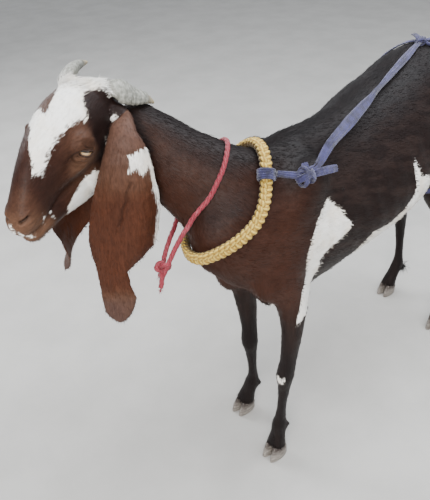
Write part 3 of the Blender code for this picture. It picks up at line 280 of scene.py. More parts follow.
def turnOut(mesh):
    bm = bmesh.new()
    bm.from_mesh(mesh)
    bmesh.ops.recalc_face_normals(bm, faces=bm.faces)
    bm.to_mesh(mesh)
    bm.free()
    return mesh


def setAttribute(mesh, name, kind, key, values):
    made = mesh.attributes.new(name, kind, "POINT")
    made.data.foreach_set(key, np.ascontiguousarray(values, np.float32).ravel())


def setColour(mesh, name, values):
    setAttribute(mesh, name, "FLOAT_COLOR", "color", values)


def setGrey(mesh, name, values):
    setColour(mesh, name, np.stack([values, values, values, np.ones(len(values))], axis=1))


def setVector(mesh, name, values):
    setAttribute(mesh, name, "FLOAT_VECTOR", "vector", values)


def smoothStep(low, high, x):
    t = np.clip((x - low) / (high - low), 0, 1)
    return t * t * (3 - 2 * t)


def within(x, start, full, last, end):
    return smoothStep(start, full, x) * (1 - smoothStep(last, end, x))


def bell(x, middle, reach):
    return np.exp(-(((x - middle) / reach) ** 2))


def relax(values, edges, rounds, share=0.5, weights=None):
    count = len(values)
    a, b = edges[:, 0], edges[:, 1]
    degree = np.maximum(np.bincount(a, minlength=count) + np.bincount(b, minlength=count), 1)
    flat = values.reshape(count, -1)
    for _ in range(rounds):
        out = np.empty_like(flat)
        for k in range(flat.shape[1]):
            column = flat[:, k]
            total = np.bincount(a, column[b], count) + np.bincount(b, column[a], count)
            step = (total / degree - column) * share
            out[:, k] = column + (step if weights is None else step * weights)
        flat = out
    return flat.reshape(values.shape)


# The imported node's shape with its split points joined, pushed out a little
def nodeCopy(name, swell=0.0):
    bm = bmesh.new()
    bm.from_mesh(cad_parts[name].data)
    bmesh.ops.remove_doubles(bm, verts=bm.verts, dist=1e-5)
    bm.normal_update()
    moved = [v.co + v.normal * swell for v in bm.verts]
    for v, co in zip(bm.verts, moved):
        v.co = co
    mesh = bpy.data.meshes.new(name + ".copy")
    bm.to_mesh(mesh)
    bm.free()
    mesh.materials.clear()
    return mesh


def joinedMesh(name, meshes):
    bm = bmesh.new()
    for mesh in meshes:
        bm.from_mesh(mesh)
        bpy.data.meshes.remove(mesh)
    mesh = bpy.data.meshes.new(name)
    bm.to_mesh(mesh)
    bm.free()
    return mesh


def voxelSkin(obj, voxel):
    fuse = obj.modifiers.new("skin", "REMESH")
    fuse.mode = "VOXEL"
    fuse.voxel_size = voxel
    return settle(obj)


def treeOf(mesh):
    points = [v.co.copy() for v in mesh.vertices]
    return BVHTree.FromPolygons(points, [tuple(p.vertices) for p in mesh.polygons])


def dress(obj, material, slotName, *nodes):
    obj.data.materials.clear()
    obj.data.materials.append(material)
    obj.data.shade_smooth()
    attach(obj, "root")
    if nodes:
        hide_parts(*nodes)
    return obj


# The head's own directions: x to the goat's left, y to the nose, z out of the forehead

headPose = {"poll": (-0.148, -0.253, 0.835), "yaw": 22.0, "pitch": 16.0, "roll": -3.7}


def headAxes(s):
    yaw, pitch, roll = (math.radians(s[k]) for k in ("yaw", "pitch", "roll"))
    nose = np.array((math.sin(yaw) * math.cos(pitch), -math.cos(yaw) * math.cos(pitch), -math.sin(pitch)))
    level = np.array((math.cos(yaw), math.sin(yaw), 0))
    crown = np.cross(nose, level)
    left = math.cos(roll) * level + math.sin(roll) * crown
    return np.array((left, nose, math.cos(roll) * crown - math.sin(roll) * level))


headTurn = headAxes(headPose)
pollPlace = np.array(headPose["poll"]) + shift


def toHead(points):
    return (points - pollPlace) @ headTurn.T


def fromHead(points):
    return np.asarray(points) @ headTurn + pollPlace


eyeSettings = {
    "centre": (0.0345, 0.0855, -0.0400),
    "look": (0.95, 0.22, 0.20),
    "radius": 0.0142,
    "middle": 0.0013,  # of the opening, before the ball's own middle
    "half length": 0.0131,  # of the opening between the lids
    "upper": 0.0019,  # how far the upper lid's edge stands over the corners' line
    "lower": 0.0069,  # how far the lower lid's edge hangs under it
    "slant": -37,  # degrees, the back corner lower
    "lids forward": 12.0,  # degrees that the opening is turned to the nose
    "lids turn": 8.5,  # degrees that the lids lie lower on the ball than the solid's opening
}


# Centre, look, along and up of one eye, in the head's directions
def eyeFrame(side):
    flip = np.array((side, 1, 1))
    centre = np.array(eyeSettings["centre"]) * flip
    look = unit(np.array(eyeSettings["look"])) * flip
    along = unit(np.array((0, 1, 0)) - look * look[1])
    up = np.cross(look, along)
    up = up * np.sign(up[2])
    slant = math.radians(eyeSettings["slant"])
    c, s = math.cos(slant), math.sin(slant)
    return centre, look, c * along - s * up, c * up + s * along


def catmull(rows, steps):
    rows = np.array(rows, float)
    ends = np.vstack([2 * rows[0] - rows[1], rows, 2 * rows[-1] - rows[-2]])
    out = []
    for i in range(1, len(ends) - 2):
        a, b, c, d = ends[i - 1 : i + 3]
        for k in range(steps):
            t = k / steps
            bend = 2 * a - 5 * b + 4 * c - d
            out.append(0.5 * (2 * b + (c - a) * t + bend * t**2 + (3 * b - a - 3 * c + d) * t**3))
    out.append(rows[-1])
    return np.array(out)


def awayFromLine(points, line):
    away = np.full(len(points), 1.0)
    for a, b in zip(line[:-1], line[1:]):
        t = np.clip(((points - a) @ (b - a)) / max((b - a) @ (b - a), 1e-12), 0, 1)
        away = np.minimum(away, np.linalg.norm(points - a - t[:, None] * (b - a), axis=1))
    return away


def nearLine(points, line, width):
    return bell(awayFromLine(points, line), 0, width)


# Ears: how far down and how far across a place lies on its ear

earSettings = {
    "left": {"node": "ear_left", "across": (0.74, 0.67, -0.02)},
    "right": {"node": "ear_right", "across": (-0.45, 0.89, 0.0)},
}
earNumbers = {"left": 1, "right": 2}
earLength = 0.35  # metres down the ear, for the widths of lines on it


# Share of the way down the ear, and the distance across from its middle line
def earChart(word, points):
    s = earSettings[word]
    if "line" not in s:
        co = pointsOf(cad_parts[s["node"]].data)
        top, low = co[:, 2].max(), co[:, 2].min()
        heights = np.linspace(top, low, 25)
        middles = []
        for h in heights:
            near = co[np.abs(co[:, 2] - h) < 0.020]
            middles.append((near.min(axis=0) + near.max(axis=0)) / 2)
        s["line"] = (top, low, heights[::-1], np.array(middles)[::-1])
    top, low, heights, middles = s["line"]
    middle = np.stack([np.interp(points[:, 2], heights, middles[:, k]) for k in range(3)], axis=1)
    across = unit(np.array(s["across"]))
    return (top - points[:, 2]) / (top - low), (points - middle) @ across


# Skin

skinSettings = {
    "flesh": ("head", "neck", "torso", "tail", "fore_leg_left", "fore_leg_right", "hind_leg_left",
              "hind_leg_right", "ear_left", "ear_right"),
    "swell": 0.0005,
    "voxel": 0.0017,
    "quick voxel": 0.0027,
    "trunk voxel": 0.0042,
    "trunk rounds": 22,
    "depth": 0.0010,  # how deep the skin lies under the coat
    "head depth": 0.0004,
    "ear depth": 0.0001,
    "trunk faces": 100000,
    "quick trunk faces": 80000,
    "faces": 194000,  # of the whole skin
}
headCut = (np.array((0, -0.030, -0.070)), unit((-0.30, 0.90, 0.30)))
neckCut = (np.array((-0.004, -0.085, 0.622)) + shift, unit((-0.40, -0.63, 0.66)))


def headSideOf(local):
    return (local - headCut[0]) @ headCut[1]


# Whether a place can lie on the head, apart from the ears
def aroundHead(local, ears):
    return (local[:, 2] > -0.19) & (np.abs(local[:, 0]) < 0.09) & (ears < 0.5)


# The number of the ear that each point lies on, or none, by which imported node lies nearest
def earShare(points):
    share = np.zeros(len(points))
    trees = {word: treeOf(nodeCopy(s["node"])) for word, s in earSettings.items()}
    rest = treeOf(joinedMesh("rest", [nodeCopy("head"), nodeCopy("neck"), nodeCopy("torso")]))
    for word, tree in trees.items():
        low, high = (np.array(c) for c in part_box(earSettings[word]["node"]))
        inBox = ((points > low - 0.003) & (points < high + 0.003)).all(axis=1)
        for i in np.nonzero(inBox)[0]:
            place = Vector(points[i])
            away = tree.find_nearest(place, 0.004)[3]
            if away is None:
                continue
            other = rest.find_nearest(place, away)[3]
            if other is None:
                share[i] = earNumbers[word]
    return share


def makeSkinBase():
    s = skinSettings
    base = placeObject("skin", joinedMesh("skin", [nodeCopy(n, s["swell"]) for n in s["flesh"]]))
    trunkNames = [n for n in s["flesh"] if not n.startswith("ear")]
    trunk = placeObject("trunk", joinedMesh("trunk", [nodeCopy(n, s["swell"]) for n in trunkNames]))
    voxelSkin(trunk, s["trunk voxel"])
    soft = trunk.modifiers.new("soft", "SMOOTH")
    soft.iterations = s["trunk rounds"]
    settle(trunk)
    voxelSkin(base, s["voxel"])
    points = pointsOf(base.data)
    ears = earShare(points)
    edges = edgesOf(base.data)
    local = toHead(points)
    headSide = headSideOf(local)
    onTrunk = smoothStep(0.385, 0.45, points[:, 2]) * (ears < 0.5)
    onTrunk *= 1 - smoothStep(-0.035, 0.0, headSide) * (local[:, 2] > -0.20) * (np.abs(local[:, 0]) < 0.10)
    onTrunk = relax(np.clip(onTrunk, 0, 1), edges, 8)
    group = base.vertex_groups.new(name="trunk")
    for step in range(1, 11):
        chosen = np.nonzero(np.round(onTrunk * 10) == step)[0]
        group.add([int(i) for i in chosen], step / 10, "REPLACE")
    wrap = base.modifiers.new("round off", "SHRINKWRAP")
    wrap.target = trunk
    wrap.wrap_method = "NEAREST_SURFACEPOINT"
    wrap.vertex_group = "trunk"
    settle(base)
    bpy.data.objects.remove(trunk)
    points = pointsOf(base.data)
    firm = np.where(ears > 0.5, 0.35, 1.0)
    points = relax(points, edges, 3, weights=firm)
    setPoints(base.data, points)
    base.vertex_groups.clear()
    say("skin base", len(points), "points")
    return base, ears


skin, earWord = makeSkinBase()


# Places from the left eye's middle along and up, and how far out they lie
def eyeFlat(local):
    centre, look, along, up = eyeFrame(1)
    away = local - centre
    return np.stack([away @ along, away @ up, np.zeros(len(local))], axis=1), away @ look


# Strokes on the head's left half, mirrored to the right: line, half width, height where below 0 is a groove
headStrokes = {
    "mouth": (((0.0255, 0.156, -0.0920), (0.0230, 0.170, -0.0950), (0.0210, 0.187, -0.0950),
               (0.0165, 0.204, -0.0945), (0.0095, 0.218, -0.0940), (0.0, 0.223, -0.0935)),
              0.0013, -0.0020),
    "nostril": (((0.0194, 0.2108, -0.0572), (0.0166, 0.2160, -0.0588), (0.0112, 0.2208, -0.0602)),
                0.0026, -0.0056),
    "nostril wing": (((0.0202, 0.2050, -0.0515), (0.0178, 0.2130, -0.0535), (0.0120, 0.2195, -0.0550)),
                     0.0026, 0.0014),
    "below nostril": (((0.0205, 0.2090, -0.0640), (0.0175, 0.2160, -0.0660), (0.0115, 0.2215, -0.0672)),
                      0.0024, 0.0010),
    "nose groove": (((0.0, 0.229, -0.068), (0.0, 0.228, -0.080), (0.0, 0.224, -0.092)), 0.0014, -0.0016),
    "upper lip": (((0.024, 0.168, -0.088), (0.0215, 0.188, -0.087), (0.016, 0.207, -0.086)),
                  0.0036, 0.0011),
    "lip crease": (((0.0265, 0.164, -0.080), (0.0240, 0.182, -0.079), (0.0205, 0.197, -0.0765)),
                   0.0020, -0.0007),
    "face crest": (((0.0385, 0.098, -0.066), (0.0320, 0.128, -0.071), (0.0265, 0.156, -0.075)),
                   0.0050, 0.0013),
    "face vein": (((0.0385, 0.092, -0.058), (0.0330, 0.112, -0.080), (0.0270, 0.122, -0.098)),
                  0.0017, 0.0007),
    "second vein": (((0.0330, 0.112, -0.080), (0.0300, 0.128, -0.086), (0.0265, 0.140, -0.096)),
                    0.0013, 0.0005),
    "corner one": (((0.0262, 0.158, -0.088), (0.0272, 0.149, -0.083)), 0.0013, -0.0010),
    "corner two": (((0.0262, 0.155, -0.093), (0.0270, 0.145, -0.091)), 0.0013, -0.0011),
    "corner three": (((0.0255, 0.157, -0.097), (0.0262, 0.147, -0.099)), 0.0013, -0.0009),
    "chin fold": (((0.0230, 0.168, -0.106), (0.0190, 0.184, -0.108), (0.0120, 0.198, -0.109)),
                  0.0018, -0.0009),
}
# Strokes round each eye, along and up from its middle: line, half width, height, and the darkness of the
# shade painted into it
eyeStrokes = {
    "upper fold": (((0.0150, 0.0124), (0.0085, 0.0074), (0.0021, 0.0052), (-0.0060, 0.0050),
                    (-0.0132, 0.0040)),
                   0.0011, -0.0020, 0.65),
    "upper lid": (((0.0120, 0.0040), (0.0030, 0.0034), (-0.0080, 0.0030)), 0.0011, 0.0010, 0.0),
    "brow": (((0.0160, 0.0190), (0.0080, 0.0188), (-0.0020, 0.0168), (-0.0120, 0.0130)),
             0.0048, 0.0026, 0.0),
    "brow fold": (((0.0230, 0.0130), (0.0150, 0.0165), (0.0100, 0.0120)), 0.0016, -0.0008, 0.2),
    "lower lid": (((0.0125, -0.0046), (0.0060, -0.0086), (-0.0040, -0.0090), (-0.0125, -0.0050)),
                  0.0012, 0.0011, 0.0),
    "lower fold": (((0.0150, -0.0075), (0.0080, -0.0118), (-0.0053, -0.0120), (-0.0140, -0.0070)),
                   0.0012, -0.0017, 0.40),
    "second lower fold": (((0.0210, -0.0115), (0.0110, -0.0165), (-0.0040, -0.0165)),
                          0.0014, -0.0012, 0.25),
    "third lower fold": (((0.0230, -0.0170), (0.0120, -0.0225), (-0.0020, -0.0220)),
                         0.0018, -0.0006, 0.10),
    "cheek roll": (((0.0190, -0.0145), (0.0080, -0.0195), (-0.0060, -0.0190)), 0.0024, 0.0008, 0.0),
    "tear line": (((0.0112, -0.0010), (0.0173, -0.0016), (0.0230, -0.0062), (0.0284, -0.0119)),
                  0.0013, -0.0016, 0.85),
}


# A gentle unevenness from a few crossing waves
def waves(points, seed, shortest, longest, count=14):
    rng = np.random.default_rng(seed)
    total = np.zeros(len(points))
    for _ in range(count):
        way = unit(rng.normal(size=3))
        length = rng.uniform(shortest, longest)
        total += np.sin(points @ way * (2 * math.pi / length) + rng.uniform(0, 6.28))
    return total / math.sqrt(count)


# Lids, folds, nostrils and lips: how far each point is pushed out, and where shade is painted into the
# creases, folds, nostrils and mouth line
def sculptHead(points):
    local = toHead(points)
    push = np.zeros(len(points))
    dark = np.zeros(len(points))
    near = (local[:, 1] > 0.02) & (local[:, 2] > -0.19) & (np.abs(local[:, 0]) < 0.075) & (earWord < 0.5)
    chosen = np.nonzero(near)[0]
    half = local[chosen] * np.where(local[chosen, :1] < 0, (-1, 1, 1), (1, 1, 1))

    def stroke(fall, height, shade):
        push[chosen] += fall * height
        dark[chosen] = np.maximum(dark[chosen], shade * fall)

    for name, (line, width, height) in headStrokes.items():
        # Painted shade: full in the mouth line and nostrils, lighter in the lip creases, mouth corners and
        # chin fold
        shade = 1.0 if name in ("mouth", "nostril") else 0.30 * name.startswith(("corner", "lip", "chin"))
        stroke(nearLine(half, catmull(line, 5), width), height, shade)
    flat, out = eyeFlat(half)
    front = smoothStep(-0.004, 0.006, out) * (np.linalg.norm(flat, axis=1) < 0.045)
    for line, width, height, shade in eyeStrokes.values():
        path = catmull([(a, b, 0) for a, b in line], 6)
        stroke(nearLine(flat, path, width) * front, height, shade)
    # Painted shade all round the lids' edge
    stroke(nearLine(flat, lidEdge(40), 0.0020) * front, 0.0, 1.0)
    return push, dark


# The opening's outline, along and up from the eye's middle
def lidEdge(count):
    s = eyeSettings
    a = 2 * math.pi * np.arange(count + 1) / count
    high = np.where(np.sin(a) > 0, s["upper"], s["lower"])
    up = high * np.abs(np.sin(a)) ** 1.1 * np.sign(np.sin(a))
    return np.stack([s["middle"] + s["half length"] * np.cos(a), up, np.zeros(count + 1)], axis=1)


# Turns the lids a little down and forward over each ball
def lowerLids(points):
    local = toHead(points)
    for side in (1, -1):
        centre, look, along, up = eyeFrame(side)
        away = local - centre
        far = np.linalg.norm(away, axis=1)
        facing = (away @ look) / np.maximum(far, 1e-6)
        turns = (
            # way, degrees, and the distance and facing over which the turn fades
            (up, eyeSettings["lids turn"], (0.0180, 0.0280), (0.25, 0.80)),
            (along, -eyeSettings["lids forward"], (0.0175, 0.0300), (-0.10, 0.40)),
        )
        for way, degrees, reach, front in turns:
            angle = math.radians(degrees) * ((1 - smoothStep(*reach, far)) * smoothStep(*front, facing))
            c, s = np.cos(angle), np.sin(angle)
            x, y = (local - centre) @ look, (local - centre) @ way
            local = local + (c * x + s * y - x)[:, None] * look + (c * y - s * x - y)[:, None] * way
    return fromHead(local)


# Lines on each ear: share of the way down and distance across, half width, height
earStrokes = {
    "fold": (((0.25, 0.010), (0.31, 0.005), (0.38, -0.001), (0.45, -0.006)), 0.0024, -0.0020),
    "fold lip": (((0.24, 0.016), (0.32, 0.011), (0.40, 0.005), (0.47, -0.001)), 0.0034, 0.0011),
    "middle vein": (((0.10, 0.000), (0.35, -0.010), (0.60, -0.008), (0.82, 0.000)), 0.0018, 0.0007),
    "front vein": (((0.12, -0.006), (0.30, -0.024), (0.52, -0.034)), 0.0015, 0.0006),
    "front branch": (((0.34, -0.026), (0.46, -0.022), (0.60, -0.026)), 0.0013, 0.0005),
    "rear vein": (((0.14, 0.008), (0.30, 0.024), (0.48, 0.034)), 0.0015, 0.0006),
    "rear branch": (((0.34, 0.026), (0.46, 0.020), (0.58, 0.022)), 0.0013, 0.0005),
    "lobe vein": (((0.60, -0.008), (0.72, -0.014), (0.88, -0.010)), 0.0014, 0.0005),
    "cross fold": (((0.10, -0.016), (0.13, 0.004), (0.12, 0.018)), 0.0026, -0.0007),
}


def sculptEars(points):
    push = np.zeros(len(points))
    dark = np.zeros(len(points))
    for word, number in earNumbers.items():
        chosen = np.nonzero(earWord == number)[0]
        down, across = earChart(word, points[chosen])
        flat = np.stack([down * earLength, across, np.zeros(len(chosen))], axis=1)
        for name, (line, width, height) in earStrokes.items():
            fall = nearLine(flat, catmull([(a * earLength, b, 0) for a, b in line], 5), width)
            push[chosen] += fall * height
            # Painted shade in the ear's fold
            if name == "fold":
                dark[chosen] = np.maximum(dark[chosen], 0.45 * fall)
        push[chosen] += 0.0005 * waves(points[chosen], 5, 0.02, 0.06)
    return push, dark


# Ribs, tendons and a gentle unevenness under the coat
def sculptBody(points, normals):
    _, y, z = (points - shift).T
    push = 0.0007 * waves(points, 3, 0.05, 0.12) + 0.00025 * waves(points, 4, 0.014, 0.03)
    side = np.clip(np.abs(normals[:, 0]) * 1.6 - 0.5, 0, 1)
    ribs = within(y, 0.05, 0.12, 0.30, 0.36) * within(z, 0.42, 0.50, 0.62, 0.69) * side
    push += 0.0006 * ribs * np.sin((y + 0.25 * z) * (2 * math.pi / 0.036))
    flank = bell(y, 0.385, 0.040) * bell(z, 0.655, 0.050) * side
    blade = bell(y, 0.052, 0.013) * within(z, 0.50, 0.56, 0.67, 0.71) * side
    push -= 0.0060 * flank + 0.0016 * blade
    low = 1 - smoothStep(0.30, 0.36, z)
    tendon = low * smoothStep(0.10, 0.12, z) * np.clip(normals[:, 1], 0, 1)
    return push * (1 - 0.75 * low) + 0.0009 * tendon


def shapeSkin():
    s = skinSettings
    mesh = skin.data
    points, normals = pointsOf(mesh), normalsOf(mesh)
    edges = edgesOf(mesh)
    local = toHead(points)
    onHead = smoothStep(-0.02, 0.02, headSideOf(local)) * aroundHead(local, earWord)
    onEar = relax((earWord > 0.5).astype(float), edges, 4)
    depth = s["depth"] * (1 - onHead) + s["head depth"] * onHead
    depth = depth * (1 - onEar) + s["ear depth"] * onEar
    points = lowerLids(points)
    headPush, headDark = sculptHead(points)
    earPush, earDark = sculptEars(points)
    push = headPush + earPush + sculptBody(points, normals) * (1 - onHead) * (1 - onEar)
    points += normals * (push - depth - s["swell"] * (1 - 0.5 * onEar))[:, None]
    setPoints(mesh, points)
    return np.maximum(headDark, earDark)


# skinDark holds where shade is painted into creases, folds, nostrils and the mouth line
skinDark = shapeSkin()
say("skin shaped")


# Fewer faces on the trunk and legs first, and then an even thinning of the whole skin
def thinTrunk():
    global earWord, skinDark
    mesh = skin.data
    local = toHead(pointsOf(mesh))
    keep = (earWord > 0.5) | ((local[:, 1] > -0.03) & (local[:, 2] > -0.19))
    for name, values in (("earWord", earWord), ("dark", skinDark)):
        setAttribute(mesh, name, "FLOAT", "value", values)
    bm = bmesh.new()
    bm.from_mesh(mesh)
    bmesh.ops.triangulate(bm, faces=bm.faces)
    bm.to_mesh(mesh)
    bm.free()
    total = len(mesh.polygons)
    here = int((~keep)[cornersOf(mesh).reshape(-1, 3)].all(axis=1).sum())
    faces = skinSettings["trunk faces"]
    if here > faces:
        group = skin.vertex_groups.new(name="thin")
        group.add([int(i) for i in np.nonzero(~keep)[0]], 1.0, "REPLACE")
        thin = skin.modifiers.new("thin", "DECIMATE")
        thin.vertex_group = "thin"
        thin.ratio = (total - here + faces) / total
        settle(skin)
        skin.vertex_groups.clear()
    total = len(skin.data.polygons)
    if total > skinSettings["faces"]:
        even = skin.modifiers.new("even", "DECIMATE")
        even.ratio = skinSettings["faces"] / total
        settle(skin)
    mesh = skin.data
    out = []
    for name in ("earWord", "dark"):
        out.append(readOut(mesh.attributes[name].data, "value", np.float32).astype(float))
        mesh.attributes.remove(mesh.attributes[name])
    earWord, skinDark = np.round(out[0]), out[1]
    say("skin faces", len(mesh.polygons))


thinTrunk()


# Where the coat is white, tan, warm or dark, and which way it lies

# White patches on the face, x and y of the head's own directions, seen from above
blaze = ((-0.050, -0.035), (0.052, -0.035), (0.052, 0.000), (0.0359, 0.0070), (0.0286, 0.0124),
         (0.0185, 0.0242), (0.0248, 0.0372), (0.0324, 0.0481), (0.0405, 0.0625), (0.0321, 0.0858),
         (0.0279, 0.1054), (0.0245, 0.1234), (0.0232, 0.1373), (0.0224, 0.1511), (0.0214, 0.1626),
         (0.0148, 0.1743), (0.0125, 0.1606), (0.0065, 0.1521), (-0.0073, 0.1317), (-0.0145, 0.1130),
         (-0.028, 0.104), (-0.034, 0.092), (-0.0237, 0.0785), (-0.0010, 0.0945), (-0.0070, 0.0651),
         (-0.0190, 0.0350), (-0.036, 0.020))
# On the cheek, y and z of the head's own directions
cheekPatch = ((0.0771, -0.0865), (0.0872, -0.0899), (0.1042, -0.0964), (0.1238, -0.1025),
              (0.1402, -0.1077), (0.140, -0.122), (0.128, -0.150), (0.110, -0.180), (0.055, -0.180),
              (0.040, -0.150), (0.052, -0.110))
# On the left ear, distance along its width and height
earPatch = ((-0.2861, 0.757), (-0.2683, 0.761), (-0.2590, 0.762), (-0.2580, 0.785), (-0.229, 0.785),
            (-0.229, 0.743), (-0.2586, 0.740), (-0.2641, 0.726), (-0.2701, 0.724), (-0.2759, 0.739),
            (-0.2834, 0.732), (-0.2895, 0.727), (-0.2848, 0.744))
earEdge = ((-0.2590, 0.745), (-0.2600, 0.724), (-0.2575, 0.698), (-0.2545, 0.664), (-0.2580, 0.634),
           (-0.2655, 0.598), (-0.255, 0.590), (-0.235, 0.620), (-0.225, 0.700), (-0.225, 0.745))
# On the left side of the trunk, distance back and height
elbowWedge = ((-0.117, 0.617), (-0.088, 0.585), (-0.061, 0.543), (-0.090, 0.525), (-0.114, 0.515),
              (-0.127, 0.490), (-0.123, 0.463), (-0.136, 0.439), (-0.168, 0.402), (-0.197, 0.380),
              (-0.189, 0.424), (-0.184, 0.456), (-0.160, 0.477), (-0.165, 0.518), (-0.160, 0.547),
              (-0.139, 0.596))
bellyEdge = ((-0.016, 0.490), (0.000, 0.504), (0.048, 0.502), (0.078, 0.520), (0.108, 0.545),
             (0.106, 0.600), (0.110, 0.622), (0.118, 0.600), (0.130, 0.572), (0.152, 0.572),
             (0.180, 0.535), (0.230, 0.470), (0.240, 0.30), (-0.020, 0.30))
whiteSpread = 0.016  # the depth over which a patch's edge is kept, for the frayed border


# Distance inside the outline, below 0 outside it
def insidePolygon(flat, corners):
    corners = np.array(corners, float)
    away = awayFromLine(flat, np.vstack([corners, corners[:1]]))
    inside = np.zeros(len(flat), bool)
    x, y = flat[:, 0], flat[:, 1]
    for a, b in zip(corners, np.roll(corners, -1, axis=0)):
        crosses = (a[1] > y) != (b[1] > y)
        with np.errstate(divide="ignore", invalid="ignore"):
            cut = (b[0] - a[0]) * (y - a[1]) / (b[1] - a[1]) + a[0]
        inside ^= crosses & (x < cut)
    return np.where(inside, away, -away)


# Like insidePolygon, for a rounded spot
def spot(points, centre, radii):
    radii = np.array(radii, float)
    scaled = np.linalg.norm((points - np.array(centre)) / radii, axis=1)
    return (1 - scaled) * radii.min()


# Pale touches on the lips, mirrored: centre and reach in the head's directions, strength
lipSpots = (
    ((0.0070, 0.2180, -0.0975), (0.010, 0.010, 0.0032), 0.51),
    ((0.0070, 0.2260, -0.0800), (0.0034, 0.008, 0.0065), 0.51),
    ((0.0214, 0.1880, -0.0840), (0.008, 0.0026, 0.0090), 0.52),
    ((0.0205, 0.1680, -0.0935), (0.008, 0.0024, 0.0070), 0.52),
)


# Small white ticks under the left horn: centre and reach in the head's directions
browTicks = (
    ((0.050, 0.0163, -0.0325), (0.006, 0.0026, 0.0070)),
    ((0.046, 0.0426, -0.0556), (0.008, 0.0026, 0.0100)),
)
throatStreak = catmull(((0.043, -0.355, 0.612), (0.063, -0.349, 0.588), (0.085, -0.335, 0.570)), 4)
kneeSpots = ((0.1280, 0.254), (0.1384, 0.254), (0.1332, 0.247), (0.1332, 0.243))  # across and up


# White hair from 0 to 1, rising over the depth that whiteSpread gives
def whiteHair(points, local, onHead, ears):
    field = np.full(len(points), -1.0)

    def put(mask, inside, weight=1.0):
        level = np.clip(inside, -whiteSpread, whiteSpread * (2 * weight - 1))
        field[mask] = np.maximum(field[mask], level)

    x, y, z = local.T
    crown = onHead & (z > -0.032)
    side = smoothStep(0.022, 0.034, x) * (1 - smoothStep(-0.017, -0.007, z))
    side *= 1 - smoothStep(0.010, 0.020, y)
    put(crown, insidePolygon(local[crown][:, :2], blaze) - 0.035 * side[crown])
    for flip, grow in ((1, 0.0), (-1, -0.004)):
        cheek = onHead & (x * flip > 0.004)
        put(cheek, insidePolygon(local[cheek][:, 1:], cheekPatch) + grow)
    lip = onHead & (y > 0.16)
    put(lip, spot(local[lip], (-0.003, 0.2280, -0.0710), (0.0034, 0.008, 0.0075)), 0.51)
    for flip in (1, -1):
        for centre, radii, weight in lipSpots:
            put(lip, spot(local[lip] * (flip, 1, 1), centre, radii), weight)
    ticks = onHead & (x > 0.02)
    for centre, radii in browTicks:
        put(ticks, spot(local[ticks], centre, radii))
    leftEar = ears == 1
    if leftEar.any():
        across = points[leftEar] @ np.array(earSettings["left"]["across"])
        flat = np.stack([across, points[leftEar][:, 2]], axis=1)
        put(leftEar, np.maximum(insidePolygon(flat, earPatch), insidePolygon(flat, earEdge)))
    x, y, z = points.T
    flat = points[:, 1:]
    trunk = ~onHead & (ears < 0.5)
    left = trunk & (x > midX + 0.02)
    put(left, insidePolygon(flat[left], elbowWedge))
    below = trunk & (z < 0.66) & (x > midX - 0.09) & (z > 0.37)
    put(below, insidePolygon(flat[below], bellyEdge) - np.clip(midX - x[below], 0, 1) * 0.9)
    knee = (y < -0.19) & (z > 0.2) & (z < 0.3) & (x > midX)
    for across, up in kneeSpots:
        put(knee, spot(points[knee], (across, -0.2198, up), (0.0062, 0.02, 0.0062)))
    throat = trunk & (z > 0.54)
    put(throat, 0.0032 - awayFromLine(points[throat], throatStreak), 0.75)
    return np.clip(0.5 + field / (2 * whiteSpread), 0, 1)


# Tan hair: round the eyes, on muzzle, jaw and face, and at both ends of the ears; at the ears' roots this
# mark also brings in a painted grey sheen
def tanHair(points, local, onHead, ears, shadeTop):
    _, y, z = local.T
    left, right = (np.linalg.norm((local - (side, 0.096, -0.052)) / (0.03, 0.042, 0.031), axis=1)
                   for side in (0.046, -0.046))
    tan = onHead * (1 - smoothStep(0.35, 1.20, np.minimum(left, right))) * 0.85
    muzzle = onHead * smoothStep(0.150, 0.200, 0.64 * y - 0.77 * z) * smoothStep(0.14, 0.19, y)
    jaw = onHead * (1 - smoothStep(-0.125, -0.105, z)) * 0.65
    tan = np.maximum(np.maximum(tan, muzzle * 0.95), jaw)
    shadeTop = shadeTop * (1 - smoothStep(0.050, 0.080, y))
    tan = np.maximum(tan, onHead * 0.44 * (1 - 0.95 * shadeTop) * (1 - 0.75 * bell(y, 0.160, 0.034)))
    for word, number in earNumbers.items():
        on = ears == number
        if on.any():
            down, _ = earChart(word, points[on])
            # The share at the roots also paints a purple-grey sheen through the dust and sheen colour
            root, tip = 1 - smoothStep(0.10, 0.50, down), smoothStep(0.70, 0.93, down)
            tan[on] = np.maximum(0.78 * root, 0.90 * tip)
    return tan


# Red is white hair, green tan hair, blue reddish hair and alpha dark hair, each from 0 to 1; on upward faces
# the alpha darkening and the lower blue also carry a painted bluish sky reflection
def coatMarks(points, normals, ears):
    local = toHead(points)
    _, y, z = (points - shift).T
    onHead = (headSideOf(local) > -0.01) & aroundHead(local, ears)
    leftFace = smoothStep(0.01, 0.03, local[:, 0])
    upFace = np.clip(normals[:, 2], 0, 1)
    chest = (1 - smoothStep(-0.06, 0.03, y)) * smoothStep(0.36, 0.46, z) * 0.50
    # Less red where the coat faces up: a painted sky reflection
    warm = np.where(ears > 0.5, 1.0, np.where(onHead, 0.45, chest * (1 - 0.75 * upFace)))
    dark = np.maximum.reduce([
        # Back: darker hair on upward faces, tinted blue as a painted sky reflection
        0.85 * smoothStep(0.35, 0.85, upFace) * (ears < 0.5) * ~onHead,  # back
        0.55 * (1 - smoothStep(0.28, 0.36, z)),  # legs
        0.80 * onHead * leftFace * (1 - smoothStep(0.055, 0.085, local[:, 1])),  # brow
        0.35 * onHead * bell(local[:, 1], 0.165, 0.03),  # nose
    ])
    white = whiteHair(points, local, onHead, ears)
    return np.stack([white, tanHair(points, local, onHead, ears, leftFace), warm, dark], axis=1)


lieWays = {
    "trunk": unit((0.0, 0.95, -0.30)),
    "neck": unit((0.50, 0.60, -0.625)),
    "head": -headTurn[1],
    "down": np.array((0.0, 0.0, -1.0)),
}


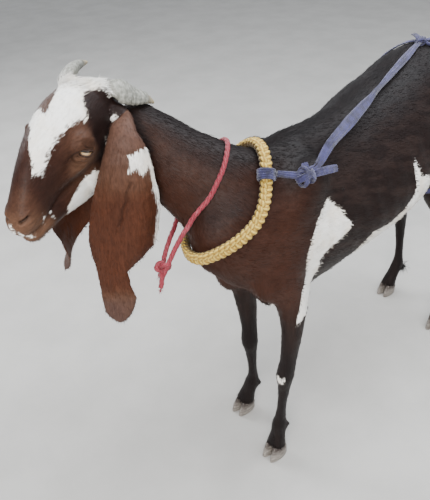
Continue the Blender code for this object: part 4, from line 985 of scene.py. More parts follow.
# How much of each lie, in the order of lieWays
def coatLie(points, normals, ears):
    local = toHead(points)
    _, y, z = (points - shift).T
    head = smoothStep(-0.015, 0.015, headSideOf(local)) * aroundHead(local, ears)
    neckSide = (points - neckCut[0]) @ neckCut[1]
    neck = smoothStep(-0.05, 0.03, neckSide) * smoothStep(0.48, 0.54, z) * (1 - head) * (ears < 0.5)
    belly = smoothStep(0.4, 0.8, -normals[:, 2]) * (z > 0.38)
    down = np.maximum(1 - smoothStep(0.40, 0.50, z), ears > 0.5) * (1 - belly)
    front = smoothStep(0.5, 0.9, -normals[:, 1]) * (y < 0.0)
    rear = smoothStep(0.4, 0.8, normals[:, 1]) * (y > 0.45) * (y < 0.64)
    down = np.maximum(down, np.maximum(front, rear)) * (1 - head) * (1 - neck)
    trunk = np.clip(1 - head - neck - down, 0, 1)
    return np.stack([trunk, neck, head, down], axis=1)


def colourSkin():
    mesh = skin.data
    points, normals = pointsOf(mesh), normalsOf(mesh)
    marks = coatMarks(points, normals, earWord)
    marks = np.column_stack([relax(marks[:, k], edgesOf(mesh), 2) for k in range(4)])
    lie = coatLie(points, normals, earWord)
    setColour(mesh, "marks", marks)
    setColour(mesh, "lie", lie)
    # Painted shade in the creases, folds, nostrils and mouth line
    setGrey(mesh, "crease_shade", skinDark)
    return points, normals, marks, lie


skinPoints, skinNormals, skinMarks, skinLie = colourSkin()
say("skin coloured")


# Coat colours and strands, shared by the skin and the tufts

coatColours = {
    "body": rgb(26, 16, 14),
    "streak": rgb(37, 26, 23),
    # Dark back hair with a bluish tint that is a painted sky reflection
    "back": rgb(12, 10, 12),
    "warm": rgb(75, 41, 26),
    "tan": rgb(92, 65, 49),
    # Greyish dust at the ears' tips; at their roots it is a painted purple-grey sheen
    "dust_and_sheen": rgb(80, 58, 51),
    "white": rgb(250, 248, 243),
    "cream": rgb(240, 230, 215),
    # Painted shade for creases, folds, nostrils and the mouth line
    "crease_shade_colour": rgb(14, 9, 8),
}


# Fine strands along the four lies, as a height and as broad streaks
def strandGroup():
    tree, ins, outs = newGroup("coat strands", {"Fineness": "Float"}, {"Height": "Float", "Streak": "Float"})
    place = objectPlace(tree)
    lie = attribute(tree, "lie")
    sums = None
    for way, weight in zip(lieWays.values(), (*redGreenBlue(tree, lie["Color"]), lie["Alpha"])):
        turn = Vector(way).to_track_quat("Z", "Y").to_euler()
        sockets = {"Vector": place, "Rotation": tuple(turn), "Scale": (0.0026, 0.0026, 0.026)}
        fitted = addNode(tree, "ShaderNodeMapping", sockets, vector_type="TEXTURE").outputs[0]
        fine = times(tree, noise(tree, fitted, ins[0], 2.5, 0.62), weight)
        wide = times(tree, noise(tree, fitted, 0.16, 2.0, 0.5), weight)
        sums = (fine, wide) if sums is None else (plus(tree, sums[0], fine), plus(tree, sums[1], wide))
    setInputs(tree, outs, {0: sums[0], 1: sums[1]})
    return tree


# The coat's colour from its marks, with frayed edges
def coatColourGroup():
    sockets = {"Strand": "Float", "Streak": "Float", "Tone": "Float"}
    tree, ins, outs = newGroup("coat colour", sockets, {"Color": "Color", "White": "Float"})
    strand, streak, tone = ins[0], ins[1], ins[2]
    place = objectPlace(tree)
    marks = attribute(tree, "marks")
    whiteMark, tanMark, warmMark = redGreenBlue(tree, marks["Color"])
    c = coatColours
    blotch = noise(tree, place, 26.0, 3.0, 0.55)
    colour = mixColour(tree, ramp(tree, streak, 0.42, 0.62), c["body"], c["streak"])
    warm = mathNode(tree, "MULTIPLY", warmMark, ramp(tree, blotch, 0.2, 0.7, 0.75, 1.0), clamp=True)
    colour = mixColour(tree, warm, colour, c["warm"])
    # Upward faces darker and bluish: darker back hair plus a painted sky reflection
    colour = mixColour(tree, times(tree, marks["Alpha"], 0.9), colour, c["back"])
    tan = plus(tree, tanMark, scaled(tree, blotch, 0.5, -0.25))
    colour = mixColour(tree, ramp(tree, tan, 0.15, 0.95), colour, c["tan"])
    # Dust at the ears' tips, a painted sheen at their roots
    colour = mixColour(tree, ramp(tree, times(tree, warmMark, tan), 0.42, 1.0), colour, c["dust_and_sheen"])
    frayed = plus(tree, whiteMark, scaled(tree, strand, 0.36, -0.18))
    frayed = plus(tree, frayed, scaled(tree, noise(tree, place, 110.0, 2.0, 0.5), 0.14, -0.07))
    white = ramp(tree, frayed, 0.46, 0.55)
    pale = mixColour(tree, ramp(tree, blotch, 0.35, 0.75), c["white"], c["cream"])
    colour = mixColour(tree, white, colour, pale)
    shade = times(tree, scaled(tree, strand, 1.1, 0.45), tone)
    whiteShade = ramp(tree, shade, 0.4, 1.3, 0.86, 1.05, False)
    shade = addNode(tree, "ShaderNodeMix", {0: white, 2: shade, 3: whiteShade}, data_type="FLOAT").outputs[0]
    grey = addNode(tree, "ShaderNodeCombineColor", {0: shade, 1: shade, 2: shade}).outputs[0]
    colour = mixColour(tree, 1.0, colour, grey, "MULTIPLY")
    # Painted shade darkens the creases, folds, nostrils and mouth line
    colour = mixColour(tree, times(tree, attribute(tree, "crease_shade")["Fac"], 0.9), colour, c["crease_shade_colour"])
    setInputs(tree, outs, {0: colour, 1: white})
    return tree


strandTree, colourTree = strandGroup(), coatColourGroup()

coatFinishes = {
    "goat skin": {"fineness": 1.0, "toned": False, "bump": (0.55, 0.0012), "sheen rough": 0.45},
    "goat coat": {"fineness": 1.6, "toned": True, "bump": (0.4, 0.0008), "sheen rough": 0.5},
}


def coatMaterial(name, s):
    made, tree, shader = newMaterial(name)
    tone = attribute(tree, "tone")["Fac"] if s["toned"] else 1.0
    strand, streak = useGroup(tree, strandTree, {"Fineness": s["fineness"]})
    coat = useGroup(tree, colourTree, {"Strand": strand, "Streak": streak, "Tone": tone})
    setInputs(tree, shader, {
        "Base Color": coat["Color"],
        "Roughness": ramp(tree, strand, 0.3, 0.7, 0.44, 0.60, False),
        "Normal": bumped(tree, strand, *s["bump"]),
        "Specular IOR Level": 0.15,
        "Sheen Weight": 0.01,
        "Sheen Roughness": s["sheen rough"],
    })
    return made


skinFinish, tuftFinish = (coatMaterial(name, s) for name, s in coatFinishes.items())
dress(skin, skinFinish, "coat", *skinSettings["flesh"])


# Coat tufts

# Rooms on the coat's flat map: low corner and size
mapRooms = {
    "head": (0.01, 0.01, 0.46, 0.28),
    "neck": (0.50, 0.01, 0.48, 0.28),
    "trunk": (0.01, 0.31, 0.97, 0.33),
    "legs": (0.01, 0.66, 0.46, 0.32),
    "ears": (0.50, 0.66, 0.48, 0.32),
}
legTop = 0.40  # height up to which the coat is a leg's


neckStart = np.array((-0.154, -0.204, 0.772)) + shift


def turnShare(a, b):
    return np.arctan2(a, b) / (2 * math.pi) + 0.5


# Each root's place on a flat unwrap of the skin, by the part that it grows on
def coatMap(points, normals, ears, lie):
    x, y, z = (points - shift).T
    local = toHead(points)
    flat = np.zeros((len(points), 2))

    def put(mask, room, along, turn):
        corner, size = np.array(mapRooms[room]).reshape(2, 2)
        flat[mask] = corner + size * np.clip(np.stack([along, turn], axis=1)[mask], 0, 1)

    put(np.ones(len(points), bool), "trunk", (y + 0.16) / 0.92, turnShare(x, z - 0.57))
    away, axis = points - neckStart, lieWays["neck"]
    side = unit(np.cross(axis, (0, 0, 1)))
    turn = turnShare(away @ side, away @ np.cross(side, axis))
    put(lie[:, 1] > 0.5, "neck", away @ axis / 0.36 + 0.1, turn)
    turn = turnShare(local[:, 0], local[:, 2] + 0.055)
    put(lie[:, 2] > 0.5, "head", (local[:, 1] + 0.04) / 0.28, turn)
    hind = y > 0.25
    turn = turnShare(np.abs(x) - 0.07, y - np.where(hind, 0.60, -0.03))
    put(z < legTop, "legs", z / legTop, (hind * 2.0 + (x > 0) + 0.96 * turn) / 4)
    for word, number in earNumbers.items():
        on = ears == number
        if on.any():
            down, across = earChart(word, points)
            outer = np.cross((0, 0, 1), unit(np.array(earSettings[word]["across"])))
            facing = (normals @ outer > 0) * 1.0
            put(on, "ears", down, ((number - 1) * 2 + facing + 0.5 + across / 0.16) / 4)
    return flat


# Tapered tufts on these skin points. Look gives length, width, lift, spread, sink and droop
def growTufts(name, roots, rng, look, rings=2):
    count = len(roots)
    out = skinNormals[roots]
    place = skinPoints[roots] + rng.normal(size=(count, 3)) * 0.0006
    lie = skinLie[roots]
    way = lie @ np.array(list(lieWays.values()))
    if "comb" in look:
        way = unit(way) * (1 - look["comb share"]) + np.array(look["comb"]) * look["comb share"]
    way = way - out * (way * out).sum(axis=1, keepdims=True)
    way = unit(way + rng.normal(size=(count, 3)) * look["spread"])
    way = unit(way - out * (way * out).sum(axis=1, keepdims=True))
    side = np.cross(out, way)
    size = rng.lognormal(0, 0.22, count)
    scale = look.get("scale", np.ones(len(skinPoints)))[roots]
    length = look["length"] * size * scale
    width = look["width"] * rng.uniform(0.8, 1.2, count) * (0.5 + 0.5 * scale)
    lift = look["lift"] * rng.uniform(0.5, 1.5, count) * scale
    drift = rng.normal(size=count) * look.get("drift", 0.08)
    droop = np.array((0, 0, -1.0)) * look.get("droop", 0.0)
    steps = np.linspace(0, 1, rings + 1)
    layers = []
    for s in steps:
        centre = place + way * (length * s)[:, None] + side * (length * drift * s * s)[:, None]
        centre = centre + droop * (length * s * s)[:, None]
        centre = centre + out * (-look["sink"] + (lift + look["sink"]) * (1 - (1 - s) ** 2))[:, None]
        if s == 1:
            layers.append(centre[:, None])
            continue
        half = (width * (1 - 0.72 * s**1.5))[:, None]
        ring = [centre - side * half, centre + out * half * 0.4, centre + side * half]
        layers.append(np.stack(ring, axis=1))
    points = np.concatenate(layers, axis=1)
    each = points.shape[1]
    pattern = []
    for r in range(rings - 1):
        for j in range(3):
            a, b = r * 3 + j, r * 3 + (j + 1) % 3
            pattern += [(a, b + 3, b), (a, a + 3, b + 3)]
    last = (rings - 1) * 3
    pattern += [(last + j, each - 1, last + (j + 1) % 3) for j in range(3)]
    pattern = np.array(pattern)
    faces = (pattern[None] + (np.arange(count) * each)[:, None, None]).reshape(-1, 3)
    mesh = triangleMesh(name, points.reshape(-1, 3), faces)
    mesh.shade_smooth()
    lean = np.concatenate([np.tile((-0.55, 0.0, 0.55), rings), [0.0]])
    facing = unit(out[:, None] + side[:, None] * lean[None, :, None])
    mesh.normals_split_custom_set_from_vertices(facing.reshape(-1, 3))
    setColour(mesh, "marks", np.repeat(skinMarks[roots], each, axis=0))
    setColour(mesh, "lie", np.repeat(lie, each, axis=0))
    along = np.concatenate([np.repeat(steps[:-1], 3), [1.0]])
    setGrey(mesh, "tone", (rng.normal(1.0, 0.07, count)[:, None] * (0.94 + 0.14 * along[None])).ravel())
    # Each root carries the painted crease shade of the skin under it
    setGrey(mesh, "crease_shade", np.repeat(skinDark[roots], each))
    rootMap = coatMap(skinPoints[roots], out, earWord[roots], lie)
    across = np.concatenate([np.tile((-0.5, 0.0, 0.5), rings), [0.0]])
    patch = np.stack([across, along - 0.5], axis=1) * 0.003
    flat = (rootMap[:, None] + patch[None]).reshape(-1, 2)
    layer = mesh.uv_layers.new(name="OFBake")
    layer.data.foreach_set("uv", np.ascontiguousarray(flat[cornersOf(mesh)], np.float32).ravel())
    tufts = placeObject(name, mesh)
    dress(tufts, tuftFinish, "coat")
    say(name, count, "tufts", len(faces), "faces")
    return tufts


def pickRoots(rng, weights, count):
    weights = np.maximum(weights, 0)
    total = weights.sum()
    if total <= 0:
        return np.zeros(0, int)
    return rng.choice(len(weights), size=count, p=weights / total)


def vertexAreas():
    mesh = skin.data
    areas = readOut(mesh.polygons, "area", np.float32)
    totals = readOut(mesh.polygons, "loop_total", np.int32)
    return np.bincount(cornersOf(mesh), np.repeat(areas / totals, totals), len(mesh.vertices))


tuftKeys = ("count", "length", "width", "lift", "spread", "sink")
tuftSettings = {
    "coat.trunk.left": (21000, 0.0095, 0.00062, 0.0006, 0.10, 0.0008),
    "coat.trunk.right": (21000, 0.0095, 0.00062, 0.0006, 0.10, 0.0008),
    "coat.neck": (15000, 0.0095, 0.00058, 0.0006, 0.11, 0.0008),
    "coat.head": (20000, 0.0050, 0.00036, 0.0003, 0.11, 0.0005),
    "coat.legs": (14000, 0.0070, 0.00048, 0.0004, 0.10, 0.0006),
    "coat.ears": (17000, 0.0060, 0.00038, 0.00035, 0.11, 0.0004),
}


def growCoat():
    rng = np.random.default_rng(21)
    area = vertexAreas()
    local = toHead(skinPoints)
    x, _, z = (skinPoints - shift).T
    neck, head = skinLie[:, 1], skinLie[:, 2]
    ears, legs = earWord > 0.5, z < legTop
    trunk = (head < 0.5) & (neck < 0.5) & ~ears & ~legs
    eyeClear = np.ones(len(skinPoints))
    for side in (1, -1):
        centre = fromHead(eyeFrame(side)[0])
        eyeClear *= smoothStep(0.0160, 0.0200, np.linalg.norm(skinPoints - centre, axis=1))
    bare = smoothStep(0.205, 0.222, local[:, 1]) * head
    zones = {
        "coat.trunk.left": trunk & (x >= 0),
        "coat.trunk.right": trunk & (x < 0),
        "coat.neck": (neck >= 0.5) & ~ears,
        "coat.head": (head >= 0.5) * eyeClear * (1 - bare) * (skinDark < 0.4),
        "coat.legs": legs & (z > 0.042),
        "coat.ears": ears,
    }
    scale = 1 - 0.45 * head * smoothStep(0.10, 0.20, local[:, 1])
    for name, row in tuftSettings.items():
        look = {**dict(zip(tuftKeys, row)), "scale": scale}
        roots = pickRoots(rng, area * zones[name], look["count"])
        growTufts(name, roots, rng, look)


growCoat()


# Longer hair
throatLine = ((-0.10, -0.25, 0.70), (-0.05, -0.22, 0.645), (0.0, -0.17, 0.575), (0.0, -0.14, 0.50))
throatLine = catmull(throatLine, 4) + shift
crestLine = ((-0.160, -0.180, 0.815), (-0.100, -0.120, 0.768), (-0.045, -0.060, 0.728), (0, 0.0, 0.722))
crestLine = catmull(crestLine, 4) + shift


# Where each kind of longer hair grows, from 0 to 1
def hairPlaces():
    local = toHead(skinPoints)
    x, y, z = (skinPoints - shift).T
    n = skinNormals
    head = skinLie[:, 2] > 0.5
    body = ~(earWord > 0.5) & ~head
    poll = bell(local[:, 0], 0.008, 0.032) * bell(local[:, 1], -0.002, 0.017) * (local[:, 2] > -0.02)
    fringe = np.zeros(len(skinPoints))
    for word, number in earNumbers.items():
        down, _ = earChart(word, skinPoints)
        facing = np.abs(n @ unit(np.array(earSettings[word]["across"])))
        fringe += (earWord == number) * smoothStep(0.55, 0.9, facing) * (down > 0.10)
    spine = bell(x, 0, 0.014) * (n[:, 2] > 0.6) * (y > 0.0) * (y < 0.62)
    crest = nearLine(skinPoints, crestLine, 0.022) * smoothStep(0.2, 0.7, n[:, 2])
    return {
        "hair.poll": head * poll * (skinMarks[:, 0] > 0.55),
        "hair.ear.fringe": fringe,
        "hair.throat": nearLine(skinPoints, throatLine, 0.030) * smoothStep(0.0, 0.5, -n[:, 2]) * body,
        "hair.chest": bell(x, 0, 0.05) * bell(y, -0.13, 0.04) * (z < 0.52) * (z > 0.36),
        "hair.belly": smoothStep(0.3, 0.8, -n[:, 2]) * (z > 0.37) * (z < 0.50) * body,
        "hair.legs": smoothStep(0.3, 0.8, n[:, 1]) * (z < 0.42) * (z > 0.09),
        "hair.thigh": smoothStep(0.4, 0.8, n[:, 1]) * (y > 0.45) * (z > 0.38) * (z < 0.66),
        "hair.tail": (y > 0.64) * 1.0,
        "hair.spine": np.maximum(spine, crest),
        "hair.coronet": bell(z, 0.040, 0.006),
        "hair.chin": head * bell(local[:, 1], 0.190, 0.03) * smoothStep(0.2, 0.7, -(n @ headTurn[2])),
    }


# Each row: count, length, width, lift, spread, droop, the way it is combed, share of that way
hairKeys = ("count", "length", "width", "lift", "spread", "droop", "comb", "comb share")
hairSettings = {
    "hair.poll": (5200, 0.014, 0.0005, 0.0020, 0.13, 0.05, headTurn[0] * 0.8 - headTurn[1] * 0.45, 0.75),
    "hair.ear.fringe": (3600, 0.0045, 0.00035, 0.0004, 0.16, 0.05, (0, 0, -1), 0.6),
    "hair.throat": (2200, 0.011, 0.0005, 0.0009, 0.15, 0.12, (0, 0, -1), 0.3),
    "hair.chest": (2000, 0.011, 0.0005, 0.0008, 0.14, 0.10, (0, 0.2, -1), 0.5),
    "hair.belly": (4200, 0.011, 0.0005, 0.0009, 0.14, 0.08, (0, 1, -0.3), 0.5),
    "hair.legs": (2400, 0.007, 0.0004, 0.0004, 0.11, 0.03, (0, 0.2, -1), 0.6),
    "hair.thigh": (2600, 0.013, 0.0005, 0.0009, 0.12, 0.10, (0, 0.1, -1), 0.7),
    "hair.tail": (2400, 0.022, 0.0007, 0.0030, 0.20, 0.20, (0, 1, -0.5), 0.7),
    "hair.spine": (4000, 0.014, 0.0006, 0.0011, 0.12, 0.0, (0, 1, 0), 0.2),
    "hair.coronet": (1500, 0.008, 0.0005, 0.0006, 0.16, 0.05, (0, 0, -1), 0.8),
    "hair.chin": (800, 0.006, 0.0004, 0.0010, 0.20, 0.10, (0, 0.3, -1), 0.6),
}


def growLongHair():
    rng = np.random.default_rng(33)
    area = vertexAreas()
    places = hairPlaces()
    for name, row in hairSettings.items():
        look = {**dict(zip(hairKeys, row)), "sink": 0.0012, "drift": 0.16}
        look["comb"] = unit(np.array(look["comb"], float))
        roots = pickRoots(rng, area * places[name], look["count"])
        growTufts(name, roots, rng, look, rings=3)


growLongHair()


# Eyes

eyeColours = {
    "iris": rgb(196, 168, 128),
    "iris two": rgb(168, 130, 88),
    "iris edge": rgb(124, 92, 62),
    "pupil": rgb(10, 8, 9),
    "white": rgb(140, 112, 88),
}


# A ball with a slightly raised clear front; its own directions are stored for the finish
def makeEye(word, side):
    centre, look, along, up = eyeFrame(side)
    aim = unit(look + up * 0.07 + along * 0.12)
    flatUp = unit(up - aim * (up @ aim))
    flatAlong = np.cross(flatUp, aim)
    bm = bmesh.new()
    bmesh.ops.create_uvsphere(bm, u_segments=48, v_segments=32, radius=1.0)
    own = np.array([v.co for v in bm.verts])
    front = np.clip((own[:, 2] - 0.72) / 0.28, 0, 1)
    radius = eyeSettings["radius"] - 0.0002
    raised = own * (radius * (1 + 0.035 * front * front))[:, None]
    points = fromHead(centre + raised[:, :1] * flatAlong + raised[:, 1:2] * flatUp + raised[:, 2:] * aim)
    for v, p in zip(bm.verts, points):
        v.co = p
    bmesh.ops.recalc_face_normals(bm, faces=bm.faces)
    mesh = bpy.data.meshes.new("eye." + word)
    bm.to_mesh(mesh)
    bm.free()
    setVector(mesh, "eyePlace", own)
    return placeObject("eye." + word, mesh)


def eyeMaterial():
    made, tree, shader = newMaterial("wet eye")
    c = eyeColours
    x, y, _ = xyz(tree, attribute(tree, "eyePlace")["Vector"])
    radial = mathNode(tree, "SQRT", plus(tree, times(tree, x, x), times(tree, y, y)))
    angle = mathNode(tree, "ARCTAN2", y, x)
    sockets = {0: times(tree, angle, 9.0), 1: times(tree, radial, 3.0)}
    fibre = noise(tree, addNode(tree, "ShaderNodeCombineXYZ", sockets).outputs[0], 2.2, 3.0, 0.6)
    iris = mixColour(tree, ramp(tree, fibre, 0.3, 0.75), c["iris"], c["iris two"])
    iris = mixColour(tree, ramp(tree, radial, 0.50, 0.74), iris, c["iris edge"])
    colour = mixColour(tree, ramp(tree, radial, 0.70, 0.78), iris, c["white"])
    slit = []
    for way, half in ((x, 0.66), (y, 0.20)):  # the pupil's half length and half height
        away = mathNode(tree, "ABSOLUTE", mathNode(tree, "DIVIDE", way, half))
        slit.append(mathNode(tree, "POWER", away, 2.6))
    colour = mixColour(tree, ramp(tree, plus(tree, *slit), 0.8, 1.25), c["pupil"], colour)
    setInputs(tree, shader, {
        "Base Color": colour,
        "Roughness": ramp(tree, fibre, 0.2, 0.8, 0.10, 0.22, False),
        "Coat Weight": 1.0,
        "Coat Roughness": 0.03,
    })
    return made


# The bare dark margins of both lids, as one ring over the ball
def makeLidRims(word, side):
    centre, look, along, up = eyeFrame(side)
    radius = eyeSettings["radius"] + 0.0007
    count, sides = 64, 8
    line = []
    for a, b, _ in lidEdge(count)[:-1]:
        offset = along * a + up * b
        line.append(centre + look * math.sqrt(max(radius**2 - offset @ offset, 1e-6)) + offset)
    line = np.array(line)
    points = []
    for k in range(count):
        tangent = unit(line[(k + 1) % count] - line[k - 1])
        out = unit(line[k] - centre)
        wide = np.cross(tangent, out)
        a = 2 * math.pi * k / count
        thick = 0.0005 + 0.0004 * abs(math.sin(a)) + 0.0003 * max(0, math.sin(a))
        for j in range(sides):
            b = 2 * math.pi * j / sides
            points.append(line[k] + wide * thick * 1.25 * math.cos(b) + out * thick * math.sin(b))
    faces = []
    for k in range(count):
        for j in range(sides):
            a, b = k * sides + j, k * sides + (j + 1) % sides
            c, d = ((k + 1) % count) * sides + (j + 1) % sides, ((k + 1) % count) * sides + j
            faces += [(a, b, c), (a, c, d)]
    mesh = turnOut(triangleMesh("lids." + word, fromHead(points), np.array(faces)))
    return placeObject("lids." + word, mesh)


def lidMaterial():
    made, tree, shader = newMaterial("bare lid")
    grain = noise(tree, objectPlace(tree), 900.0, 3.0, 0.6)
    setInputs(tree, shader, {
        "Base Color": mixColour(tree, ramp(tree, grain, 0.35, 0.7), rgb(38, 24, 20), rgb(78, 52, 42)),
        "Roughness": 0.38,
        "Normal": bumped(tree, grain, 0.4, 0.0004),
    })
    return made


eyeFinish, lidFinish = eyeMaterial(), lidMaterial()
for word, side in (("left", 1), ("right", -1)):
    dress(makeEye(word, side), eyeFinish, "eye", "eye_" + word)
    dress(makeLidRims(word, side), lidFinish, "coat")
say("eyes")


# Horns and hooves

hardSettings = {"horn voxel": 0.0009, "horn rounds": 6, "claw voxel": 0.0012, "claw rounds": 3}


def smoothHard(name, voxel, rounds):
    obj = placeObject(name.replace("_", "."), joinedMesh(name + ".smooth", [nodeCopy(name, 0.0002)]))
    voxelSkin(obj, voxel)
    edges = edgesOf(obj.data)
    setPoints(obj.data, relax(pointsOf(obj.data), edges, rounds))
    return obj


# How far along the horn each point lies, from the base in metres
def hornLine(points):
    middle = points.mean(axis=0)
    _, _, axes = np.linalg.svd(points - middle, full_matrices=False)
    along = (points - middle) @ axes[0]
    poll = (pollPlace - middle) @ axes[0]
    along = along if poll < 0 else -along
    return along - along.min()


# Sets the horn's base a little lower and thicker, fading to none at the tip
def lowerHorn(points, share):
    local = toHead(points)
    middle = np.zeros(len(points))
    for k in range(24):
        near = np.abs(share - (k + 0.5) / 24) < 0.035
        if near.any():
            middle[near] = (local[near, 2].min() + local[near, 2].max()) / 2
    rest = (1 - share) ** 1.2
    local[:, 2] += (local[:, 2] - middle) * 0.36 * rest - 0.0085 * rest
    return fromHead(local)


def makeHorn(word):
    name = "horn_" + word
    obj = smoothHard(name, hardSettings["horn voxel"], hardSettings["horn rounds"])
    points, normals = pointsOf(obj.data), normalsOf(obj.data)
    along = hornLine(points)
    share = along / along.max()
    wobble = 0.0008 * waves(points, 8, 0.03, 0.06)
    ridge = np.sin((along + wobble) * (2 * math.pi / 0.0105))
    ridge = ridge + 0.25 * np.sin((along - wobble) * (2 * math.pi / 0.0043))
    fade = 1 - smoothStep(0.50, 0.85, share)
    points += normals * (0.00010 * ridge * fade + 0.00008 * waves(points, 9, 0.012, 0.024))[:, None]
    if word == "left":
        points = lowerHorn(points, share)
    setPoints(obj.data, points)
    growth = np.stack([share, (ridge * 0.5 + 0.5) * fade, fade, np.ones(len(points))], axis=1)
    setColour(obj.data, "growth", growth)
    return dress(obj, hornFinish, "horn", name)


def hornMaterial():
    made, tree, shader = newMaterial("grey horn")
    place = objectPlace(tree)
    share, ridge, _ = redGreenBlue(tree, attribute(tree, "growth")["Color"])
    mottle = noise(tree, place, 160.0, 4.0, 0.65)
    fine = noise(tree, place, 900.0, 3.0, 0.6)
    colour = mixColour(tree, ramp(tree, mottle, 0.35, 0.68), rgb(112, 112, 104), rgb(160, 160, 152))
    colour = mixColour(tree, ramp(tree, ridge, 0.75, 0.1, 0.0, 0.14), colour, rgb(96, 92, 84))
    colour = mixColour(tree, ramp(tree, share, 0.70, 1.0), colour, rgb(176, 158, 122))
    colour = mixColour(tree, ramp(tree, share, 0.14, 0.0, 0.0, 0.75), colour, rgb(88, 76, 66))
    height = plus(tree, times(tree, mottle, 0.7), times(tree, fine, 0.4))
    setInputs(tree, shader, {
        "Base Color": colour,
        "Roughness": ramp(tree, fine, 0.3, 0.7, 0.46, 0.72, False),
        "Normal": bumped(tree, height, 0.12, 0.0004),
    })
    return made


def hoofMaterial():
    made, tree, shader = newMaterial("hoof")
    place = objectPlace(tree)
    z = xyz(tree, place)[2]
    rings = addNode(tree, "ShaderNodeMapping", {"Vector": place, "Scale": (60.0, 60.0, 520.0)}).outputs[0]
    band = noise(tree, rings, 1.0, 3.0, 0.6)
    grime = noise(tree, place, 210.0, 4.0, 0.65)
    colour = mixColour(tree, ramp(tree, band, 0.35, 0.68), rgb(98, 90, 84), rgb(150, 144, 137))
    colour = mixColour(tree, ramp(tree, z, 0.014, 0.034), colour, rgb(54, 44, 40))
    colour = mixColour(tree, ramp(tree, grime, 0.50, 0.75, 0.0, 0.7), colour, rgb(172, 166, 156))
    height = plus(tree, band, times(tree, grime, 0.5))
    setInputs(tree, shader, {
        "Base Color": colour,
        "Roughness": ramp(tree, grime, 0.3, 0.7, 0.42, 0.75, False),
        "Normal": bumped(tree, height, 0.55, 0.0008),
    })
    return made


hornFinish, hoofFinish = hornMaterial(), hoofMaterial()
makeHorn("left")
makeHorn("right")
for nodeName in sorted(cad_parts):
    if nodeName.startswith("claw_"):
        hoof = smoothHard(nodeName, hardSettings["claw voxel"], hardSettings["claw rounds"])
        dress(hoof, hoofFinish, "hoof", nodeName)
say("horns and hooves")


# Cords and cloth

skinTree = treeOf(skin.data)


def skinOut(point):
    return np.array(skinTree.find_nearest(Vector(point))[1])


def skinOuts(line):
    return np.array([skinOut(p) for p in line])


def middleOf(points):
    return (points.min(axis=0) + points.max(axis=0)) / 2


# A function that gives the turn of places round these points' own axis
def turnsRound(points):
    middle = middleOf(points)
    _, _, axes = np.linalg.svd(points - middle, full_matrices=False)
    return lambda places: np.arctan2((places - middle) @ axes[1], (places - middle) @ axes[0])


# The middle line of a closed band, walked round its own axis
def ringLine(name, bins, rounds):
    points = pointsOf(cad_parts[name].data)
    turn = turnsRound(points)(points)
    line = []
    for k in range(bins):
        centre = -math.pi + (k + 0.5) * 2 * math.pi / bins
        off = np.abs((turn - centre + math.pi) % (2 * math.pi) - math.pi)
        line.append(middleOf(points[off < math.pi / bins * 1.6]))
    return softenLine(line, rounds, True)


# The length walked at each point of a line
def walked(line):
    return np.concatenate([[0], np.cumsum(np.linalg.norm(np.diff(line, axis=0), axis=1))])


def resample(line, count, closed):
    path = np.vstack([line, line[:1]]) if closed else np.array(line)
    lengths = walked(path)
    at = np.linspace(0, lengths[-1], count + 1)[:-1] if closed else np.linspace(0, lengths[-1], count)
    return np.stack([np.interp(at, lengths, path[:, k]) for k in range(3)], axis=1), lengths[-1]


def softenLine(line, rounds, closed):
    line = np.array(line, float)
    for _ in range(rounds):
        before, after = np.roll(line, 1, axis=0), np.roll(line, -1, axis=0)
        if not closed:
            before[0], after[-1] = line[0], line[-1]
        line = line + ((before + after) / 2 - line) * 0.5
    return line


# The directions across and out at each point of a line
def lineFrames(line, outs, closed):
    ahead = np.roll(line, -1, axis=0) - np.roll(line, 1, axis=0)
    if not closed:
        ahead[0], ahead[-1] = line[1] - line[0], line[-1] - line[-2]
    along = unit(ahead)
    out = unit(outs - along * (outs * along).sum(axis=1, keepdims=True))
    return np.cross(along, out), out


# A band along a line; profile gives each ring's points as (across, outward)
def sweep(name, line, wide, out, profile, closed, number=0.0):
    count, sides = len(line), profile.shape[1]
    points = line[:, None] + wide[:, None] * profile[:, :, :1] + out[:, None] * profile[:, :, 1:]
    k = np.arange(count if closed else count - 1)[:, None]
    j = np.arange(sides)[None]
    a = k * sides + j
    b = k * sides + (j + 1) % sides
    c = ((k + 1) % count) * sides + (j + 1) % sides
    d = ((k + 1) % count) * sides + j
    faces = np.concatenate([np.stack([a, b, c], -1).reshape(-1, 3), np.stack([a, c, d], -1).reshape(-1, 3)])
    if not closed:
        caps = [(0, i + 1, i) for i in range(1, sides - 1)]
        end = (count - 1) * sides
        caps += [(end, end + i, end + i + 1) for i in range(1, sides - 1)]
        faces = np.vstack([faces, caps])
    mesh = triangleMesh(name, points.reshape(-1, 3), faces)
    around = np.arange(sides) / sides
    run = (np.repeat(walked(line), sides), np.tile(around, count), np.full(count * sides, number))
    setVector(mesh, "run", np.stack(run, axis=1))
    return turnOut(mesh)


def sweepAlong(name, line, outs, profile, closed, number=0.0):
    wide, out = lineFrames(line, outs, closed)
    return sweep(name, line, wide, out, profile, closed, number)


# One mesh with the attributes of all of these kept
def joinMeshes(name, meshes):
    objects = [placeObject("part", mesh) for mesh in meshes]
    bpy.ops.object.select_all(action="DESELECT")
    for obj in objects:
        obj.select_set(True)
    bpy.context.view_layer.objects.active = objects[0]
    bpy.ops.object.join()
    objects[0].name = name
    objects[0].data.name = name
    return objects[0]


def roundProfile(count, sides, radius):
    a = 2 * math.pi * np.arange(sides) / sides
    return np.repeat(np.stack([np.cos(a), np.sin(a)], axis=1)[None] * radius, count, axis=0)


collarSettings = {
    "strand": 0.0045,
    "half width": 0.0062,
    "half depth": 0.0034,
    "pitch": 0.030,
    "lower": 0.0026,  # how much deeper the plait lies than the solid's middle line
    "bins": 54,
    "rounds": 4,
    "steps": 620,
    "sides": 10,
}


def collarLine():
    return ringLine("collar", collarSettings["bins"], collarSettings["rounds"])


